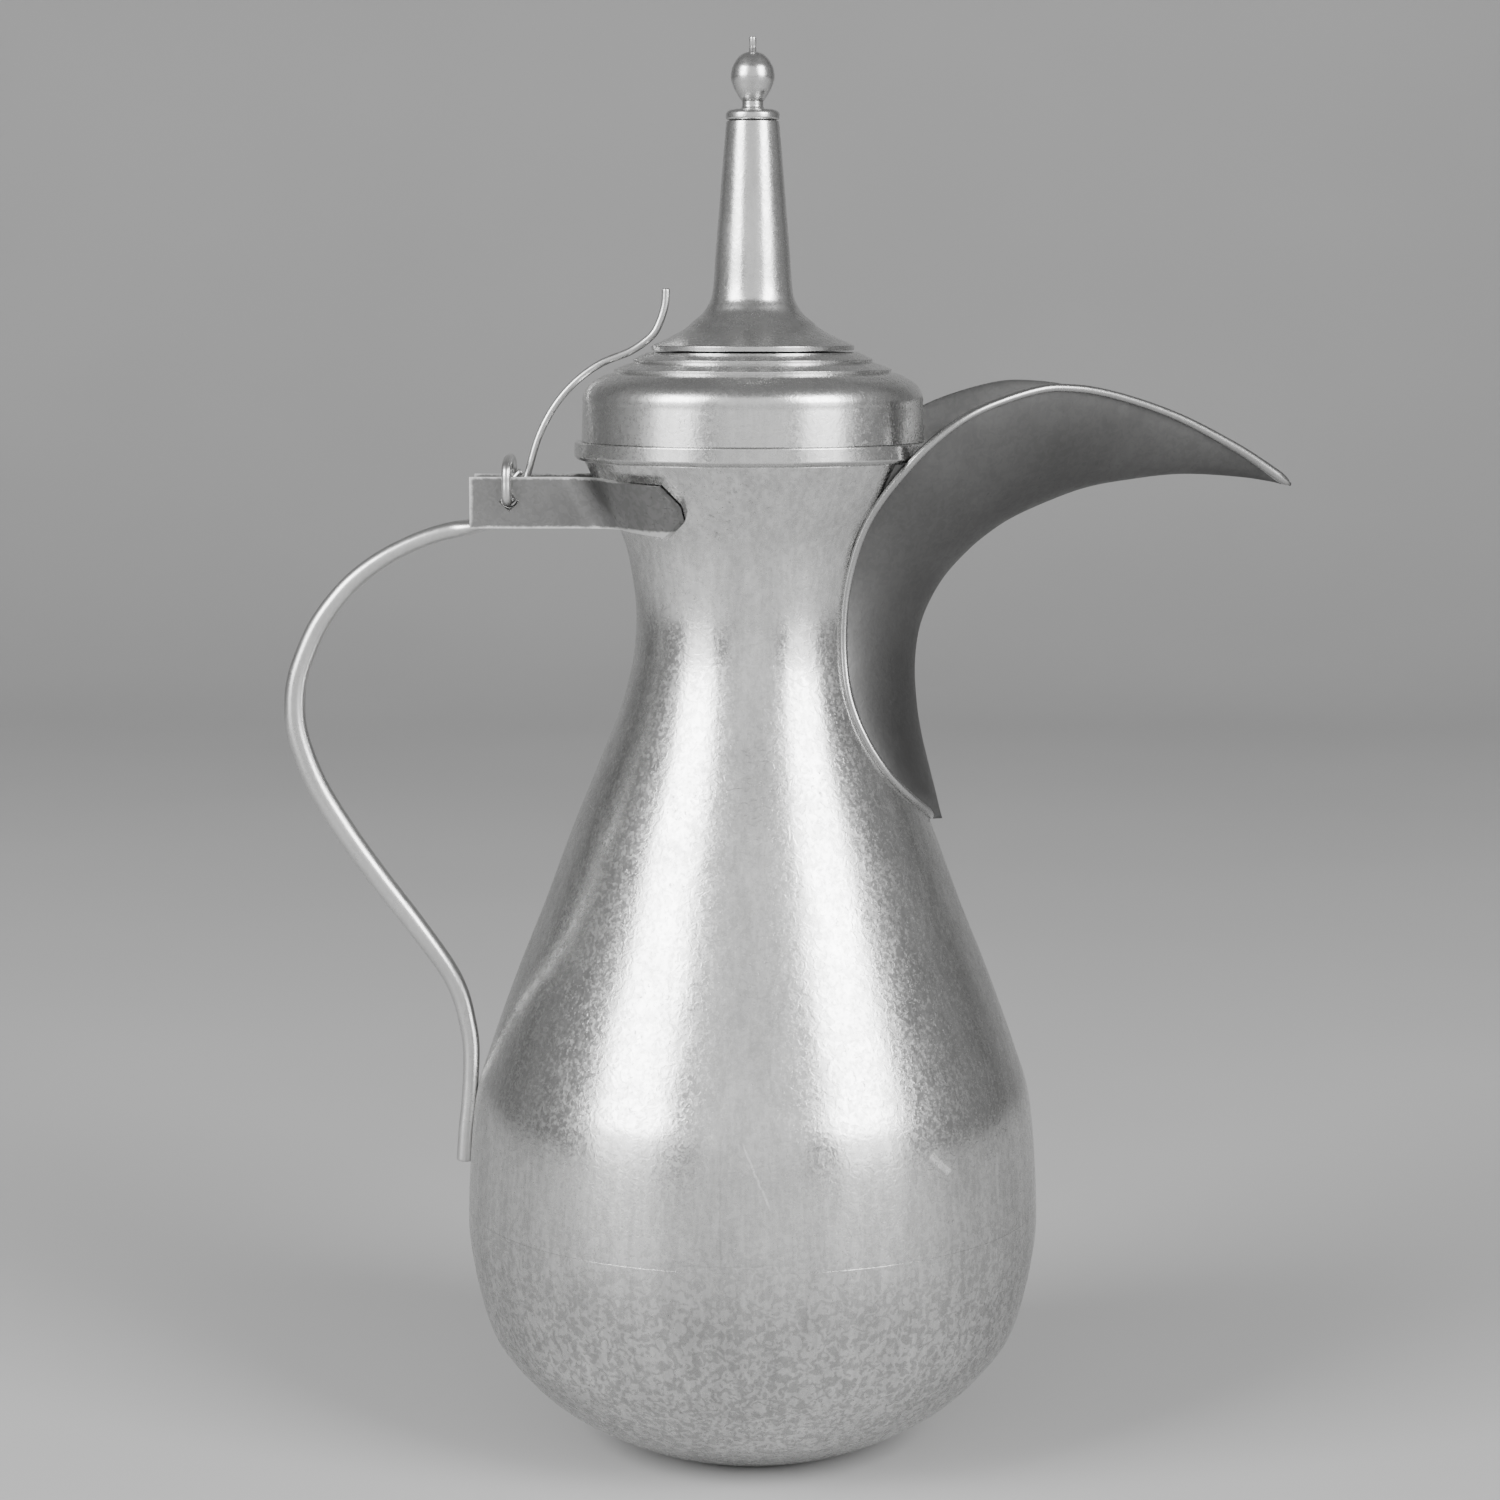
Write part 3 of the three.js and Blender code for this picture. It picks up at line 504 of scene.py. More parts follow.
def rod_washer():
    bore = PIN_HIGH[0] + 0.15
    corners = [
        (bore, WASHER_LOW[2], 0), (WASHER_HIGH[0], WASHER_LOW[2], 0.2),
        (WASHER_HIGH[0], WASHER_HIGH[2], 0.2), (bore, WASHER_HIGH[2], 0),
    ]
    return turned("rod_washer_worn", rounded(corners), 96)


def rod_nut():
    bore = PIN_HIGH[0] + 0.1
    wide = NUT_HIGH[0]
    low, high = NUT_LOW[2], NUT_HIGH[2]
    nut = turned("rod_nut_worn", [(bore, low), (wide, low), (wide, high), (bore, high)], 6)
    return soften(nut, 0.18, segments=2)


# ------------------------------------------------------------------ the hinge

STRAP_HALF = 7.9
STRAP_THICK = 1.3
STRAP_BOTTOM, STRAP_TOP = STRAP_HIGH[2] - 10.75, STRAP_HIGH[2]
STRAP_REACH = -STRAP_LOW[0]


def strap_grid(side, depth, gap):
    """One face of a strap: it runs straight out from the neck and its root wraps the neck."""
    rows, straight, turn_steps, wrap_steps = 12, 16, 14, 18
    grid = []
    for i in range(rows + 1):
        share = i / rows
        level = STRAP_BOTTOM + (STRAP_TOP - STRAP_BOTTOM) * share
        line = STRAP_HALF - STRAP_THICK + depth
        wrap = pot_radius(level) + gap
        bend = 11 - depth
        bend_x = -math.sqrt((wrap + bend) ** 2 - (line + bend) ** 2)
        turn = math.atan2(line + bend, -bend_x)
        end = float(np.interp(share, [0, 0.3, 0.62, 1], [0.93, 1.09, 1.09, 0.98]))
        row = [(-STRAP_REACH + (bend_x + STRAP_REACH) * j / straight, line, 0) for j in range(straight + 1)]
        for j in range(1, turn_steps + 1):
            angle = (math.pi / 2 - turn) * j / turn_steps
            row.append((bend_x + bend * math.sin(angle), line + bend * (1 - math.cos(angle)), 0))
        for j in range(1, wrap_steps + 1):
            angle = turn + (end - turn) * j / wrap_steps
            row.append((-wrap * math.cos(angle), wrap * math.sin(angle), -0.9 * j / wrap_steps))
        grid.append([(x, side * y, level + drop) for x, y, drop in row])
    return grid


def hinge_strap(name, side):
    strap = plate(name, strap_grid(side, STRAP_THICK, 2.0), strap_grid(side, 0, -0.1))
    half = 2.15
    hole_x, hole_z = PIVOT_X + 0.4, (LINK_LOW[2] + 1.1)
    centre = (hole_x, side * (STRAP_HALF - STRAP_THICK / 2), hole_z)
    corners = [(half, 0), (0, half), (-half, 0), (0, -half)]
    points = [(centre[0] + dx, centre[1] + dy, centre[2] + dz) for dy in (-3, 3) for dx, dz in corners]
    faces = [(0, 1, 2, 3), (4, 5, 6, 7)] + [(k, (k + 1) % 4, 4 + (k + 1) % 4, 4 + k) for k in range(4)]
    punch = new_piece("punch", points, faces)
    return soften(cut(strap, punch), 0.28)


def hinge_link():
    """A wide closed link of wire whose lower run is the hinge pin."""
    wire = (LINK_HIGH[0] - LINK_LOW[0]) / 2
    right = LINK_HIGH[1] - wire
    low, high = LINK_LOW[2] + wire, LINK_HIGH[2] - wire
    corner, arch = 2.4, 0.9
    knots = [(0, low), (right * 0.5, low), (right - corner, low)]
    knots += [(right - corner + corner * math.sin(a), low + corner - corner * math.cos(a)) for a in (0.8, 1.57)]
    knots += [(right, (low + high) / 2), (right, high - arch - corner)]
    knots += [(right - corner * (1 - math.cos(a)), high - arch - corner * (1 - math.sin(a))) for a in (0.6, 1.1)]
    knots += [(right * 0.5, high - arch * 0.22), (0, high)]
    whole = knots + [(-y, z) for y, z in knots[-2:0:-1]]
    curve = smooth_curve(whole, closed=True)
    centres = [(PIVOT_X, y, z) for y, z in spaced(curve, 160)[:-1]]
    return rod("hinge_link_worn", centres, (1, 0, 0), lambda s: wire, lambda s: wire, 20, closed=True)


ARM_RISE = [(0, 0), (0.135, 0.303), (0.34, 0.576), (0.637, 0.818), (1, 1)]
THUMB_LEVER = [(-4.3, -0.2), (-1.3, 1.75), (0.75, 3.7), (2.15, 6.6), (3, 9.7), (3.2, 12.9)]


def lid_arm():
    pivot_z = LINK_LOW[2] + 1.1
    tail = [(PIVOT_X + 2.6, pivot_z + 6.1), (PIVOT_X + 0.6, pivot_z + 3.9)]
    eye = 2.15
    loop = [
        (PIVOT_X + eye * math.cos(math.radians(a)), pivot_z + eye * math.sin(math.radians(a)))
        for a in (160, 205, 250, 295, 335)
    ]
    start = np.array([PIVOT_X + 4.15, pivot_z + 6.3])
    end = np.array([-SPIRE_FOOT_R - 10.7, SPIRE_LOW[2] - 2.85])
    rise = [tuple(start + (end - start) * np.array(row)) for row in ARM_RISE]
    lever = [(x - SPIRE_FOOT_R, SPIRE_LOW[2] + z) for x, z in THUMB_LEVER]
    knots = [*tail, *loop, (PIVOT_X + 3.1, pivot_z + 2.6), *rise, *lever]
    curve = smooth_curve([(x, 0, z) for x, z in knots])

    def wire(share):
        return 0.7 + 0.15 * share

    return rod("lid_arm_worn", spaced(curve, 220), (0, 1, 0), wire, wire, 20, blunt=0.35)


# ------------------------------------------------------------------ the handle

GRIP_OUT = [
    (0.18, 0.034), (0.341, 0.0925), (0.51, 0.182), (0.659, 0.294), (0.771, 0.415),
    (0.865, 0.55), (0.935, 0.7), (0.985, 0.85),
]
GRIP_IN = [
    (0, 0), (0.014, 0.0745), (0.114, 0.2145), (0.2855, 0.3565), (0.4915, 0.4986), (0.716, 0.641),
    (0.923, 0.784), (0.989, 0.855), (1.026, 0.928), (1.048, 1),
]


def handle_rod():
    top_r, middle_r, foot_r = 1.85, 2.35, 1.7
    top = STRAP_BOTTOM - 0.2
    reach, grip_z = -ROD_LOW[0] - middle_r, MOUTH_Z - GRIP_BELOW_MOUTH
    foot_z = ROD_LOW[2]
    wrist = foot_z + 25.5

    def beside(z):
        return -(pot_radius(z) + foot_r - 0.25)

    foot = beside(foot_z)
    raised = top + TONGUE_LIFT
    knots = [(-STRAP_REACH + 19, raised), (-STRAP_REACH + 9.5, raised), (-STRAP_REACH - 0.6, top)]
    knots += [(-STRAP_REACH - (reach - STRAP_REACH) * out, top - (top - grip_z) * down) for out, down in GRIP_OUT]
    knots += [(-reach + (reach + foot) * way, grip_z - (grip_z - wrist) * down) for way, down in GRIP_IN]
    knots += [(beside(foot_z + 13.7), foot_z + 13.7), (beside(foot_z + 7), foot_z + 7), (foot, foot_z)]
    curve = smooth_curve([(x, 0, z) for x, z in knots])
    centres = spaced(curve, 320)
    length = float(np.linalg.norm(np.diff(centres, axis=0), axis=1).sum())
    flat_share = 16 / length
    half = STRAP_HALF - STRAP_THICK - 0.05

    def blend(share, low, high):
        t = min(max((share - low) / (high - low), 0), 1)
        return t * t * (3 - 2 * t)

    def radius(share):
        ends = top_r + (foot_r - top_r) * share
        swell = math.sin(math.pi * min(max((share - 0.18) / 0.72, 0), 1))
        return ends + (middle_r - ends) * swell

    def flat(share):
        return 1 - blend(share, flat_share * 0.75, flat_share * 1.5)

    def across(share):
        return radius(share) + (half - radius(share)) * flat(share)

    def within(share):
        return radius(share) + (1.25 - radius(share)) * flat(share)

    return rod("handle_rod_worn", centres, (0, 1, 0), across, within, 32, blunt=0.3)


# ------------------------------------------------------------------ the spout

FOOT_Z = 135.2 / 212.7 * MOUTH_Z
NECK_RISE = WAIST_Z - FOOT_Z
FLARE_RISE = MOUTH_Z - WAIST_Z
CREST = 15.8
SPOUT_REACH = 117.3
BEAD_R = 0.8
SEAM = [
    (FOOT_Z, 0.03), (FOOT_Z + NECK_RISE * 0.05, 0.2), (FOOT_Z + NECK_RISE * 0.17, 0.53),
    (FOOT_Z + NECK_RISE * 0.3, 0.72), (FOOT_Z + NECK_RISE * 0.46, 0.84), (FOOT_Z + NECK_RISE * 0.66, 0.905),
    (WAIST_Z - NECK_RISE * 0.08, 0.89), (WAIST_Z + FLARE_RISE * 0.28, 0.86), (WAIST_Z + FLARE_RISE * 0.66, 0.81),
]
FREE_RIM = [
    (0, 0, 1), (0.075, 0.4, 1.008), (0.155, 0.69, 0.98), (0.32, 0.985, 0.84), (0.398, 1, 0.752),
    (0.49, 0.93, 0.64), (0.67, 0.63, 0.42), (0.84, 0.18, 0.224), (0.935, -0.13, 0.12), (1, -0.37, 0.06),
]
NECK_KEEL = [
    (3.2, 0), (3.4, 0.045), (4.1, 0.15), (5, 0.28), (6.1, 0.43),
    (7.5, 0.58), (9.5, 0.79), (11.7, 0.98), (15.3, 1.17),
]
FREE_KEEL = [
    (0.2, 19.8), (0.257, 15.7), (0.312, 12.7), (0.445, 7.8), (0.507, 6.2),
    (0.58, 5.1), (0.72, 3.8), (0.87, 4.5), (0.94, 5.4), (1, 6.5),
]
RIM_X = (BAND_R + 0.3) * math.cos(0.72)
RIM_HALF = (BAND_R + 0.3) * math.sin(0.72)
RIM_CURVE = smooth_curve(
    [(pot_radius(z) * math.cos(a), pot_radius(z) * math.sin(a), z) for z, a in SEAM]
    + [
        (RIM_X + (SPOUT_REACH - RIM_X) * way, RIM_HALF * half, MOUTH_Z + CREST * rise)
        for way, rise, half in FREE_RIM
    ]
)
KEEL_CURVE = smooth_curve(
    [(pot_radius(FOOT_Z + NECK_RISE * share) + proud, 0, FOOT_Z + NECK_RISE * share) for proud, share in NECK_KEEL]
    + [(RIM_X + (SPOUT_REACH - RIM_X) * way, 0, MOUTH_Z - below) for way, below in FREE_KEEL]
)
ATTACHED = len(SEAM) / (len(SEAM) + len(FREE_RIM) - 1)


def spout_station(share):
    rim, keel = RIM_CURVE(share), KEEL_CURVE(share)
    middle = np.array([rim[0], 0, rim[2]])
    down = keel - middle
    depth = float(np.linalg.norm(down))
    return middle, down / depth, depth, float(rim[1])


def trough_section(angle):
    """[share of the half width, share of the depth]; the angle is 0 at the keel and a right angle at the rim."""
    soft = math.sqrt(angle * angle + 0.02) - math.sqrt(0.02)
    straight = math.copysign(soft, angle) / (math.sqrt(math.pi**2 / 4 + 0.02) - math.sqrt(0.02))
    bowed = 1 - KEEL_SHARPNESS
    out = bowed * math.sin(angle) + KEEL_SHARPNESS * angle / (math.pi / 2)
    return out, bowed * math.cos(angle) + KEEL_SHARPNESS * (1 - abs(straight))


def trough_grid(inset):
    steps, half_columns = 130, 26
    grid = []
    for i in range(steps + 1):
        share = i / steps
        middle, down, depth, half = spout_station(share)
        wall = half - BEAD_R
        half_here = max(wall - inset, wall * 0.3, 0.25)
        depth_here = max(depth - inset, depth * 0.35)
        bury = 2.2 * min(1, depth / 6) if share < ATTACHED else 0
        row = []
        for j in range(-half_columns, half_columns + 1):
            edge = abs(j) == half_columns
            angle = j / (half_columns - 1) * math.pi / 2
            out, fall_share = trough_section(angle)
            sideways = math.copysign(1, j) if edge else out
            fall = -bury - 0.01 if edge else depth_here * fall_share
            spot = middle + down * fall
            row.append((spot[0], sideways * half_here, spot[2]))
        grid.append(row)
    return grid


def in_spout_plane(piece):
    piece.data.transform(Matrix.Rotation(SPOUT_TURN, 4, "Z"))
    return piece


def band_cutter(grow):
    bore = BAND_R - BAND_WIDTH
    corners = [(bore - 1, BAND_LOW[2] - 0.6), (BAND_R + grow, BAND_LOW[2] - 0.6)]
    corners += [(BAND_R + grow, BAND_HIGH[2] + grow), (bore - 1, BAND_HIGH[2] + grow)]
    return turned("cutter", corners, 160)


def spout_trough():
    trough = in_spout_plane(plate("spout_trough_worn", trough_grid(0), trough_grid(SHEET)))
    cut(trough, pot_cutter(-0.3), band_cutter(0.1))
    return soften(trough, 0.2, angle=50, segments=2)


def spout_bead(name, side):
    centres = []
    steps = 170
    for i in range(steps + 1):
        share = 0.02 + 0.973 * i / steps
        middle, down, _, half = spout_station(share)
        centre = middle + down * (BEAD_R * 0.9)
        centre[1] = side * (half - 0.15)
        centres.append(centre)
    centres = np.array(centres)
    points, faces = [], []
    sides = 16
    for i, centre in enumerate(centres):
        along = centres[min(i + 1, steps)] - centres[max(i - 1, 0)]
        along /= np.linalg.norm(along)
        out = np.array([0, side, 0]) - along * along[1] * side
        out /= np.linalg.norm(out)
        up = np.cross(along, out)
        tip = max(0.0, 1 - (steps - i) / 6)
        swell = 1 + 0.45 * max(0, 1 - (steps - i) / 30)
        size = BEAD_R * min(math.sqrt(1 - tip * tip * 0.97) * swell, 0.35 + i / 12)
        for k in range(sides):
            angle = 2 * math.pi * k / sides
            points.append(centre + out * size * math.cos(angle) + up * size * 1.05 * math.sin(angle))
    for i in range(steps):
        for k in range(sides):
            a, b = i * sides + k, i * sides + (k + 1) % sides
            faces.append((a, b, b + sides, a + sides))
    faces += [tuple(range(sides)), tuple(range(steps * sides, (steps + 1) * sides))]
    return in_spout_plane(new_piece(name, points, faces))


# ------------------------------------------------------------------ materials


class Nodes:
    """Adds linked shader nodes to a material."""

    def __init__(self, name):
        self.material = bpy.data.materials.new(name)
        self.material.use_nodes = True
        self.tree = self.material.node_tree
        self.tree.nodes.clear()
        self.out = self.tree.nodes.new("ShaderNodeOutputMaterial")

    def add(self, kind, inputs=None, **settings):
        node = self.tree.nodes.new(kind)
        for key, value in settings.items():
            setattr(node, key, value)
        for key, value in (inputs or {}).items():
            self.feed(node.inputs[key], value)
        return node

    def feed(self, socket, value):
        if isinstance(value, bpy.types.NodeSocket):
            self.tree.links.new(value, socket)
        else:
            socket.default_value = value

    def math(self, operation, a, b=0.0, clamp=False):
        return self.add("ShaderNodeMath", {0: a, 1: b}, operation=operation, use_clamp=clamp).outputs[0]

    def ramp(self, value, low, high, to_low=0.0, to_high=1.0):
        inputs = {"Value": value, "From Min": low, "From Max": high, "To Min": to_low, "To Max": to_high}
        return self.add("ShaderNodeMapRange", inputs, interpolation_type="SMOOTHSTEP").outputs[0]

    def noise(self, vector, scale, detail=4.0, rough=0.55, distortion=0.0):
        inputs = {"Vector": vector, "Scale": scale, "Detail": detail, "Roughness": rough, "Distortion": distortion}
        return self.add("ShaderNodeTexNoise", inputs).outputs["Fac"]

    def stretch(self, vector, scale, turn=(0, 0, 0), shift=(0, 0, 0)):
        inputs = {"Vector": vector, "Location": shift, "Rotation": turn, "Scale": scale}
        return self.add("ShaderNodeMapping", inputs).outputs[0]


def worn_silver(
    name, tone=0.68, rough=0.22, seed=0.0, pits=1.0, streaks=0.3,
    clouds=1.0, worms=1.0, low_mottle_and_shade=0.0, flecks=0.15, marks=(),
):
    """Aged silver plate: clouds of tarnish, a fine worm-like mottle, pits, rough flecks and wiping marks; below a
    given height, a stronger mottle with painted shade that darkens the surface towards the bottom.
    """
    n = Nodes(name)
    where = n.add("ShaderNodeTexCoord").outputs["Object"]
    base = n.stretch(where, (1, 1, 1), shift=(seed, seed * 0.7, seed * 1.3))
    cloud = n.noise(base, 26, 4, 0.55)
    patch = n.noise(base, 75, 4, 0.6)
    worm = n.ramp(n.noise(base, 640, 1.5, 0.5, 0.9), 0.4, 0.6)
    grain = n.noise(base, 2600, 2, 0.6)
    speck = n.ramp(n.noise(base, 900, 3, 0.7), 0.59, 0.67)
    pit = n.math("MULTIPLY", speck, n.ramp(patch, 0.45, 0.66))
    fleck = n.ramp(n.noise(base, 1150, 3, 0.6), 0.5, 0.57)
    tall = n.stretch(base, (1, 1, 0.16))
    brush = n.noise(tall, 900, 3, 0.65)
    wipe = n.noise(n.stretch(base, (1, 1, 0.03)), 260, 3, 0.6)

    shade = n.ramp(cloud, 0.34, 0.68, tone * (1 - 0.1 * clouds), tone * 1.04)
    shade = n.math("MULTIPLY", shade, n.ramp(patch, 0.3, 0.7, 1 - 0.05 * clouds, 1.03))
    shade = n.math("MULTIPLY", shade, n.ramp(worm, 0, 1, 1 - 0.07 * worms, 1 + 0.05 * worms))
    shade = n.math("MULTIPLY", shade, n.ramp(brush, 0.3, 0.7, 1 - 0.1 * streaks, 1 + 0.06 * streaks))
    shade = n.math("MULTIPLY", shade, n.ramp(wipe, 0.36, 0.64, 1 - 0.09 * streaks, 1 + 0.03 * streaks))
    shade = n.math("MULTIPLY", shade, n.ramp(pit, 0, 1, 1.0, 1 - 0.35 * pits))
    # Painted shade: below the given height the mottle grows stronger and the colour darker overall towards the
    # bottom.
    if low_mottle_and_shade:
        level = n.add("ShaderNodeSeparateXYZ", {0: where}).outputs[2]
        zone = n.ramp(level, low_mottle_and_shade, low_mottle_and_shade * 0.45)
        mottle_with_shade = n.ramp(worm, 0, 1, 0.7, 0.92)
        shade = n.add("ShaderNodeMix", {"Factor": zone, 2: shade, 3: n.math("MULTIPLY", shade, mottle_with_shade)}).outputs[0]
    for mark in marks:
        shade = mark(n, where, shade)
    colour = n.add("ShaderNodeCombineColor", {0: shade, 1: shade, 2: n.math("MULTIPLY", shade, 0.993)})

    gloss = n.ramp(patch, 0.3, 0.7, rough + 0.035, rough - 0.02)
    gloss = n.math("ADD", gloss, n.ramp(worm, 0, 1, 0.035 * worms, -0.02 * worms))
    gloss = n.math("ADD", gloss, n.math("MULTIPLY", pit, 0.2 * pits))
    gloss = n.math("ADD", gloss, n.math("MULTIPLY", fleck, 0.13 * flecks))
    gloss = n.math("ADD", gloss, n.ramp(grain, 0.3, 0.7, 0.02, -0.02))

    height = n.math("MULTIPLY", worm, 0.11 * worms)
    height = n.math("ADD", height, n.math("MULTIPLY", patch, 0.5))
    height = n.math("ADD", height, n.math("MULTIPLY", grain, 0.05))
    height = n.math("SUBTRACT", height, n.math("MULTIPLY", pit, 0.12 * pits))
    height = n.math("ADD", height, n.math("MULTIPLY", brush, 0.06 * streaks))
    bump = n.add("ShaderNodeBump", {"Height": height, "Strength": 0.5, "Distance": 0.0002})
    shader = n.add("ShaderNodeBsdfPrincipled", {
        "Base Color": colour.outputs[0], "Metallic": 1.0, "Roughness": gloss, "Normal": bump.outputs[0],
    })
    n.tree.links.new(shader.outputs[0], n.out.inputs[0])
    return n.material


def line_mark(start, end, half_width, gain, fade):
    """A scratch, dent or stain on the pot's front, between two [x, z] shares of the belly's radius and height."""

    def apply(n, where, shade):
        low = np.array([start[0] * BELLY_R, start[1] * MARK_TOP])
        high = np.array([end[0] * BELLY_R, end[1] * MARK_TOP])
        middle, run = (low + high) / 2, high - low
        lean = math.atan2(run[1], run[0])
        moved = n.stretch(where, (1, 1, 1), shift=(-middle[0] * MM, 0, -middle[1] * MM))
        turned_in = n.stretch(moved, (1, 1, 1), turn=(0, lean, 0))
        parts = n.add("ShaderNodeSeparateXYZ", {0: turned_in})
        depth = n.add("ShaderNodeSeparateXYZ", {0: where}).outputs[1]
        waver = n.math("MULTIPLY", n.math("SUBTRACT", n.noise(where, 300, 2), 0.5), 0.0012)
        across = n.math("ABSOLUTE", n.math("ADD", parts.outputs[2], waver))
        along = n.math("ABSOLUTE", parts.outputs[0])
        reach = float(np.linalg.norm(run)) / 2 * MM
        beside = n.ramp(across, half_width * MM, half_width * 0.4 * MM)
        mask = n.math("MULTIPLY", beside, n.ramp(along, reach, reach * (1 - fade)))
        mask = n.math("MULTIPLY", mask, n.math("LESS_THAN", depth, 0.0))
        return n.math("MULTIPLY", shade, n.ramp(mask, 0, 1, 1.0, gain))

    return apply


def edge_wear_and_highlight(n, where, shade):
    """Rubbed bright metal with a painted highlight along the long edges and the free end of a strap."""
    parts = n.add("ShaderNodeSeparateXYZ", {0: where})
    ragged = n.math("MULTIPLY", n.noise(where, 420, 4, 0.7), 0.0013)
    middle = (STRAP_TOP + STRAP_BOTTOM) / 2 * MM
    off = n.math("ADD", n.math("ABSOLUTE", n.math("SUBTRACT", parts.outputs[2], middle)), ragged)
    half = (STRAP_TOP - STRAP_BOTTOM) / 2 * MM
    long_edge = n.ramp(off, half, half + 0.0006)
    ahead = n.math("SUBTRACT", parts.outputs[0], ragged)
    tip = n.ramp(ahead, (-STRAP_REACH + 0.2) * MM, (-STRAP_REACH - 0.7) * MM)
    # The edges are painted bright: real wear together with a painted highlight along the bevels.
    worn = n.math("MAXIMUM", long_edge, tip)
    return n.add("ShaderNodeMix", {"Factor": worn, 2: shade, 3: 0.8}).outputs[0]


def plain_floor():
    n = Nodes("pale_floor")
    where = n.add("ShaderNodeTexCoord").outputs["Object"]
    tint = n.ramp(n.noise(where, 3, 2), 0.3, 0.7, 0.44, 0.46)
    colour = n.add("ShaderNodeCombineColor", {0: tint, 1: tint, 2: tint})
    shader = n.add("ShaderNodeBsdfPrincipled", {"Base Color": colour.outputs[0], "Roughness": 0.7})
    n.tree.links.new(shader.outputs[0], n.out.inputs[0])
    return n.material


# ------------------------------------------------------------------ stage, light and camera


def floor():
    """A pale floor that sweeps up behind the pot."""
    half, back, bend, high = 4000, 2200, 900, 3200
    profile = [(-3000, 0), (back - bend, 0)]
    profile += [(back - bend + bend * math.sin(a), bend - bend * math.cos(a)) for a in np.linspace(0.1, 1.57, 14)]
    profile += [(back, high)]
    points = [(x, y, z) for y, z in profile for x in (-half, half)]
    faces = [(2 * i, 2 * i + 1, 2 * i + 3, 2 * i + 2) for i in range(len(profile) - 1)]
    made = new_piece("floor", points, faces)
    made.data.materials.append(plain_floor())


def softbox(name, azimuth, elevation, distance, width, height, power, aim_z):
    """A soft area light seen from the pot at an azimuth from the camera's side and an elevation."""
    lamp = bpy.data.lights.new(name, "AREA")
    lamp.shape = "RECTANGLE"
    lamp.size, lamp.size_y = width, height
    lamp.energy = power
    item = bpy.data.objects.new(name, lamp)
    a, e = math.radians(azimuth), math.radians(elevation)
    away = Vector((math.sin(a) * math.cos(e), -math.cos(a) * math.cos(e), math.sin(e)))
    item.location = Vector((0, 0, aim_z)) + away * distance
    item.rotation_mode = "QUATERNION"
    item.rotation_quaternion = away.to_track_quat("Z", "Y")
    bpy.context.scene.collection.objects.link(item)


def studio_light():
    world = bpy.data.worlds.new("studio")
    bpy.context.scene.world = world
    world.use_nodes = True
    background = world.node_tree.nodes["Background"]
    background.inputs["Color"].default_value = (0.26, 0.26, 0.26, 1)
    background.inputs["Strength"].default_value = 1.0
    softbox("left_softbox", -53, 28, 1.7, 0.84, 0.86, 37, 0.12)
    softbox("left_low_softbox", -53, 6, 1.7, 0.84, 0.5, 4.5, 0.12)
    softbox("right_softbox", 48, 28, 1.7, 0.78, 0.86, 35, 0.12)
    softbox("right_low_softbox", 48, 6, 1.7, 0.78, 0.5, 4.5, 0.12)
    softbox("front_softbox", 0, 20, 2.2, 2.0, 1.8, 10, 0.12)


FOCAL_LENGTH = 85
SENSOR_WIDTH = 36
CAMERA_SPOT = (-0.00057, -0.7497, 0.246)
CAMERA_PITCH = 7.24


def camera():
    lens = bpy.data.cameras.new("camera")
    lens.lens = FOCAL_LENGTH
    lens.sensor_width = SENSOR_WIDTH
    item = bpy.data.objects.new("camera", lens)
    item.location = CAMERA_SPOT
    item.rotation_euler = (math.radians(90 - CAMERA_PITCH), 0, 0)
    bpy.context.scene.collection.objects.link(item)
    bpy.context.scene.camera = item


# ------------------------------------------------------------------ the assembly

camera()
floor()
studio_light()

MARKS = (
    line_mark((-0.045, 1.168), (0.066, 0.938), 0.32, 1.32, 0.4),
    line_mark((0.59, 1.077), (0.655, 1.008), 0.8, 1.55, 0.12),
    line_mark((-0.107, 1.2), (-0.107, 0.69), 0.3, 0.88, 0.7),
    line_mark((0.13, 1.15), (0.13, 0.62), 0.26, 0.91, 0.7),
    line_mark((-0.303, 0.785), (0.154, 0.794), 0.26, 0.88, 0.6),
)
POT_SILVER = worn_silver(
    "pot_silver_worn", tone=0.66, rough=0.215, streaks=1.0, flecks=0.5, low_mottle_and_shade=MARK_TOP * MM, marks=MARKS,
)
# The spout's worn silver has a much darker tone than the pot's: painted shade for the dark surroundings it
# reflects.
SPOUT_SHADED_SILVER = worn_silver("spout_silver_worn_painted_shade", tone=0.14, rough=0.44, seed=0.31, pits=0.4, worms=0.6, clouds=1.6)
# The spout's rim bead is also toned darker than the pot's silver: painted shade.
RIM_SHADED_SILVER = worn_silver("rim_silver_worn_painted_shade", tone=0.42, rough=0.26, seed=0.37, pits=0.3, worms=0.3)
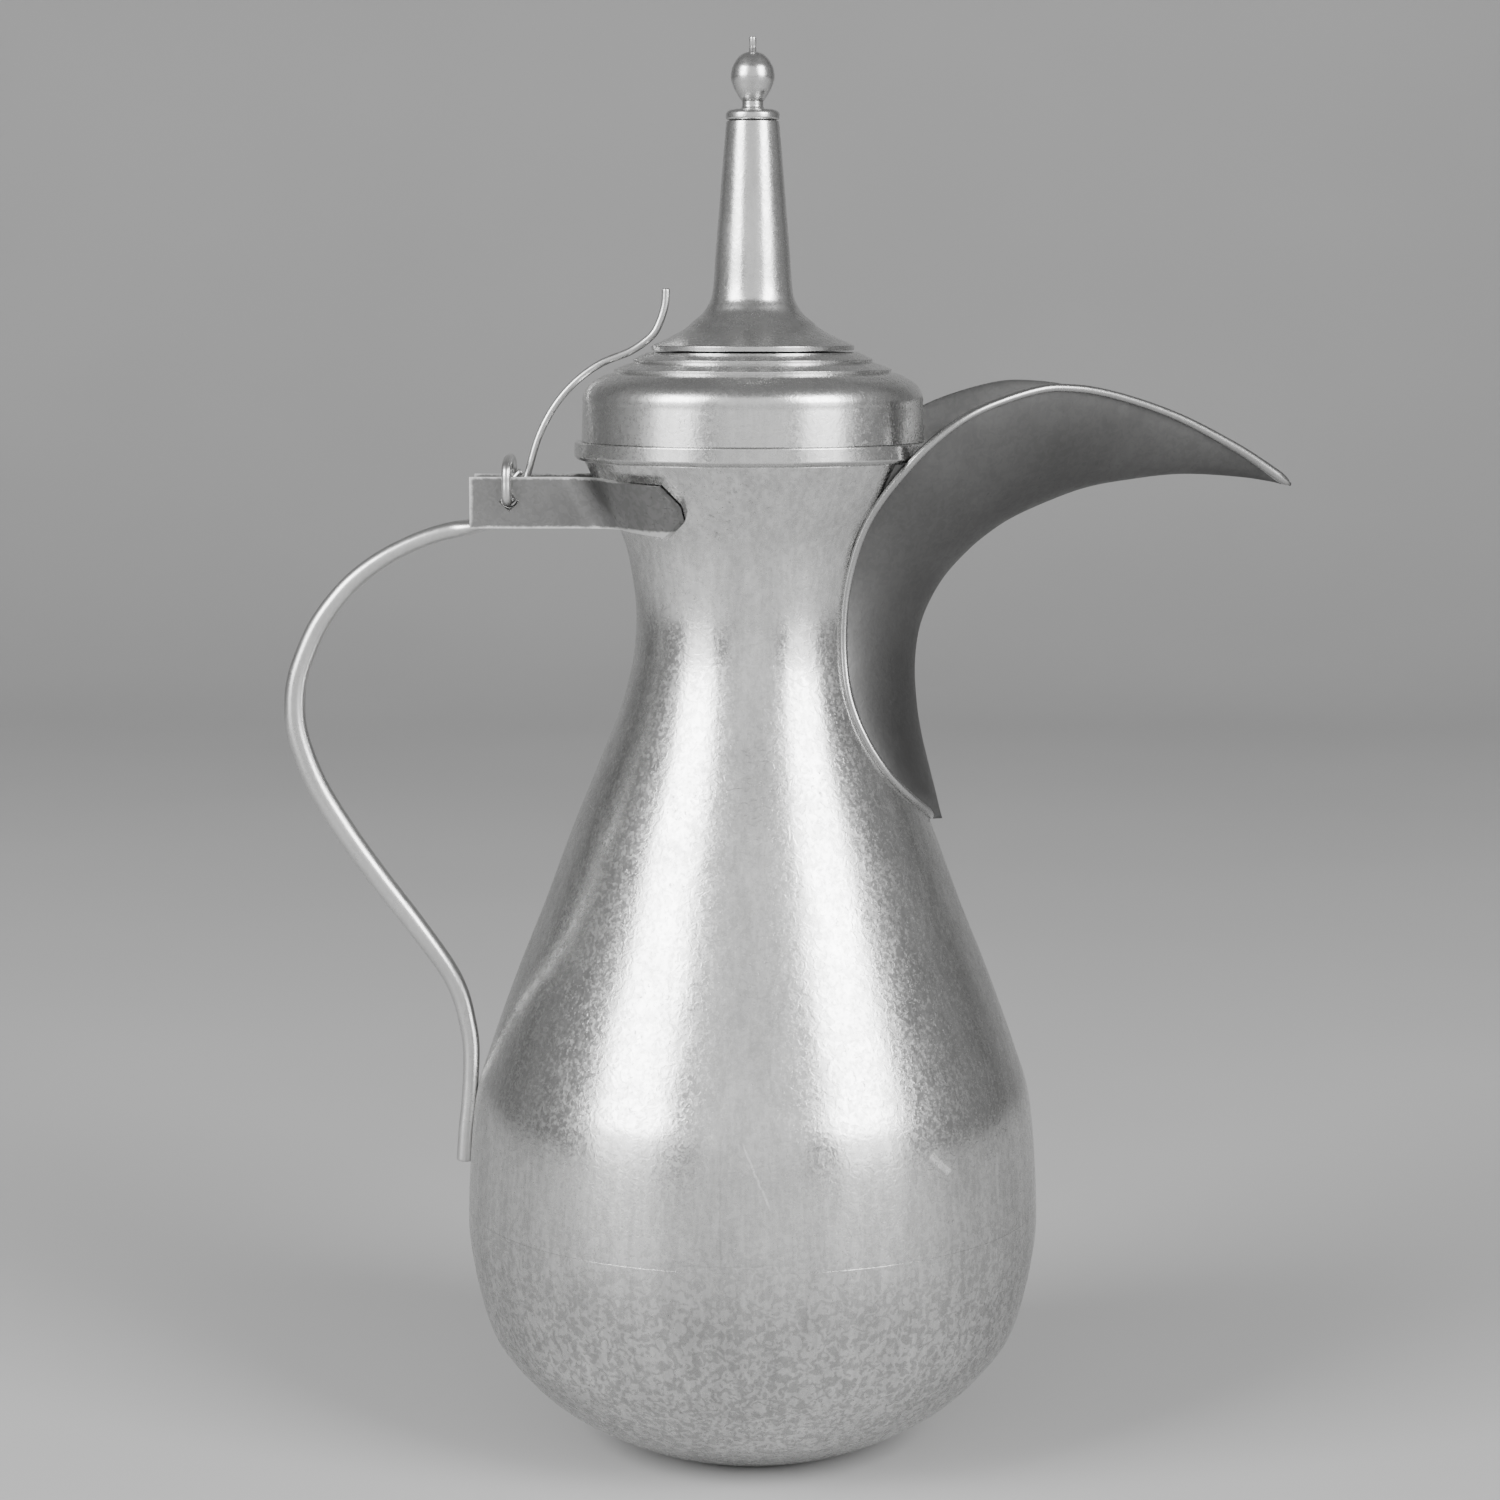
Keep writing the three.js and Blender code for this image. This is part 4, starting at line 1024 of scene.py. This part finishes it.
STRAP_SILVER = worn_silver(
    "strap_silver_worn", tone=0.24, rough=0.34, seed=0.53, pits=1.2, worms=1.2, clouds=2.5, marks=(edge_wear_and_highlight,),
)
FITTING_SILVER = worn_silver("fitting_silver_worn", tone=0.6, rough=0.3, seed=0.53, pits=0.6, worms=0.4)
LID_SILVER = worn_silver("lid_silver_worn", tone=0.64, rough=0.25, seed=0.77, pits=0.8, streaks=0.5, worms=0.6)
INNER_SILVER = worn_silver("inner_silver_worn", tone=0.52, rough=0.36, seed=0.91, pits=0.5, worms=0.5)

place(bowl_shell(), "pot", "pot_silver", POT_SILVER, "bowl_shell")
place(neck_shell(), "pot", "pot_silver", POT_SILVER, "neck_shell")
place(mouth_band(), "pot", "pot_silver", LID_SILVER, "mouth_band")
place(spout_trough(), "pot", "spout_silver", SPOUT_SHADED_SILVER, "spout_trough")
place(spout_bead("spout_bead_near_worn", -1), "pot", "spout_silver", RIM_SHADED_SILVER, "spout_bead_near")
place(spout_bead("spout_bead_far_worn", 1), "pot", "spout_silver", RIM_SHADED_SILVER, "spout_bead_far")
place(hinge_strap("hinge_strap_near_worn", -1), "pot", "fittings_silver", STRAP_SILVER, "hinge_strap_near")
place(hinge_strap("hinge_strap_far_worn", 1), "pot", "fittings_silver", STRAP_SILVER, "hinge_strap_far")
place(handle_rod(), "pot", "fittings_silver", FITTING_SILVER, "handle_rod")
place(hinge_link(), "link", "fittings_silver", FITTING_SILVER, "hinge_link")
place(lid_arm(), "lid", "fittings_silver", FITTING_SILVER, "lid_arm")
place(lid_cap(), "lid", "lid_silver", LID_SILVER, "lid_cap")
place(lid_skirt(), "lid", "inner_silver", INNER_SILVER, "lid_skirt")
place(spire(), "lid", "lid_silver", LID_SILVER, "spire")
place(finial_collar(), "lid", "lid_silver", LID_SILVER, "finial_collar")
place(finial_stem(), "lid", "lid_silver", LID_SILVER, "finial_stem")
place(finial_knob(), "lid", "lid_silver", LID_SILVER, "finial_knob")
place(tie_rod(), "lid", "inner_silver", FITTING_SILVER, "tie_rod")
place(rod_washer(), "lid", "inner_silver", INNER_SILVER, "rod_washer")
place(rod_nut(), "lid", "inner_silver", INNER_SILVER, "rod_nut")
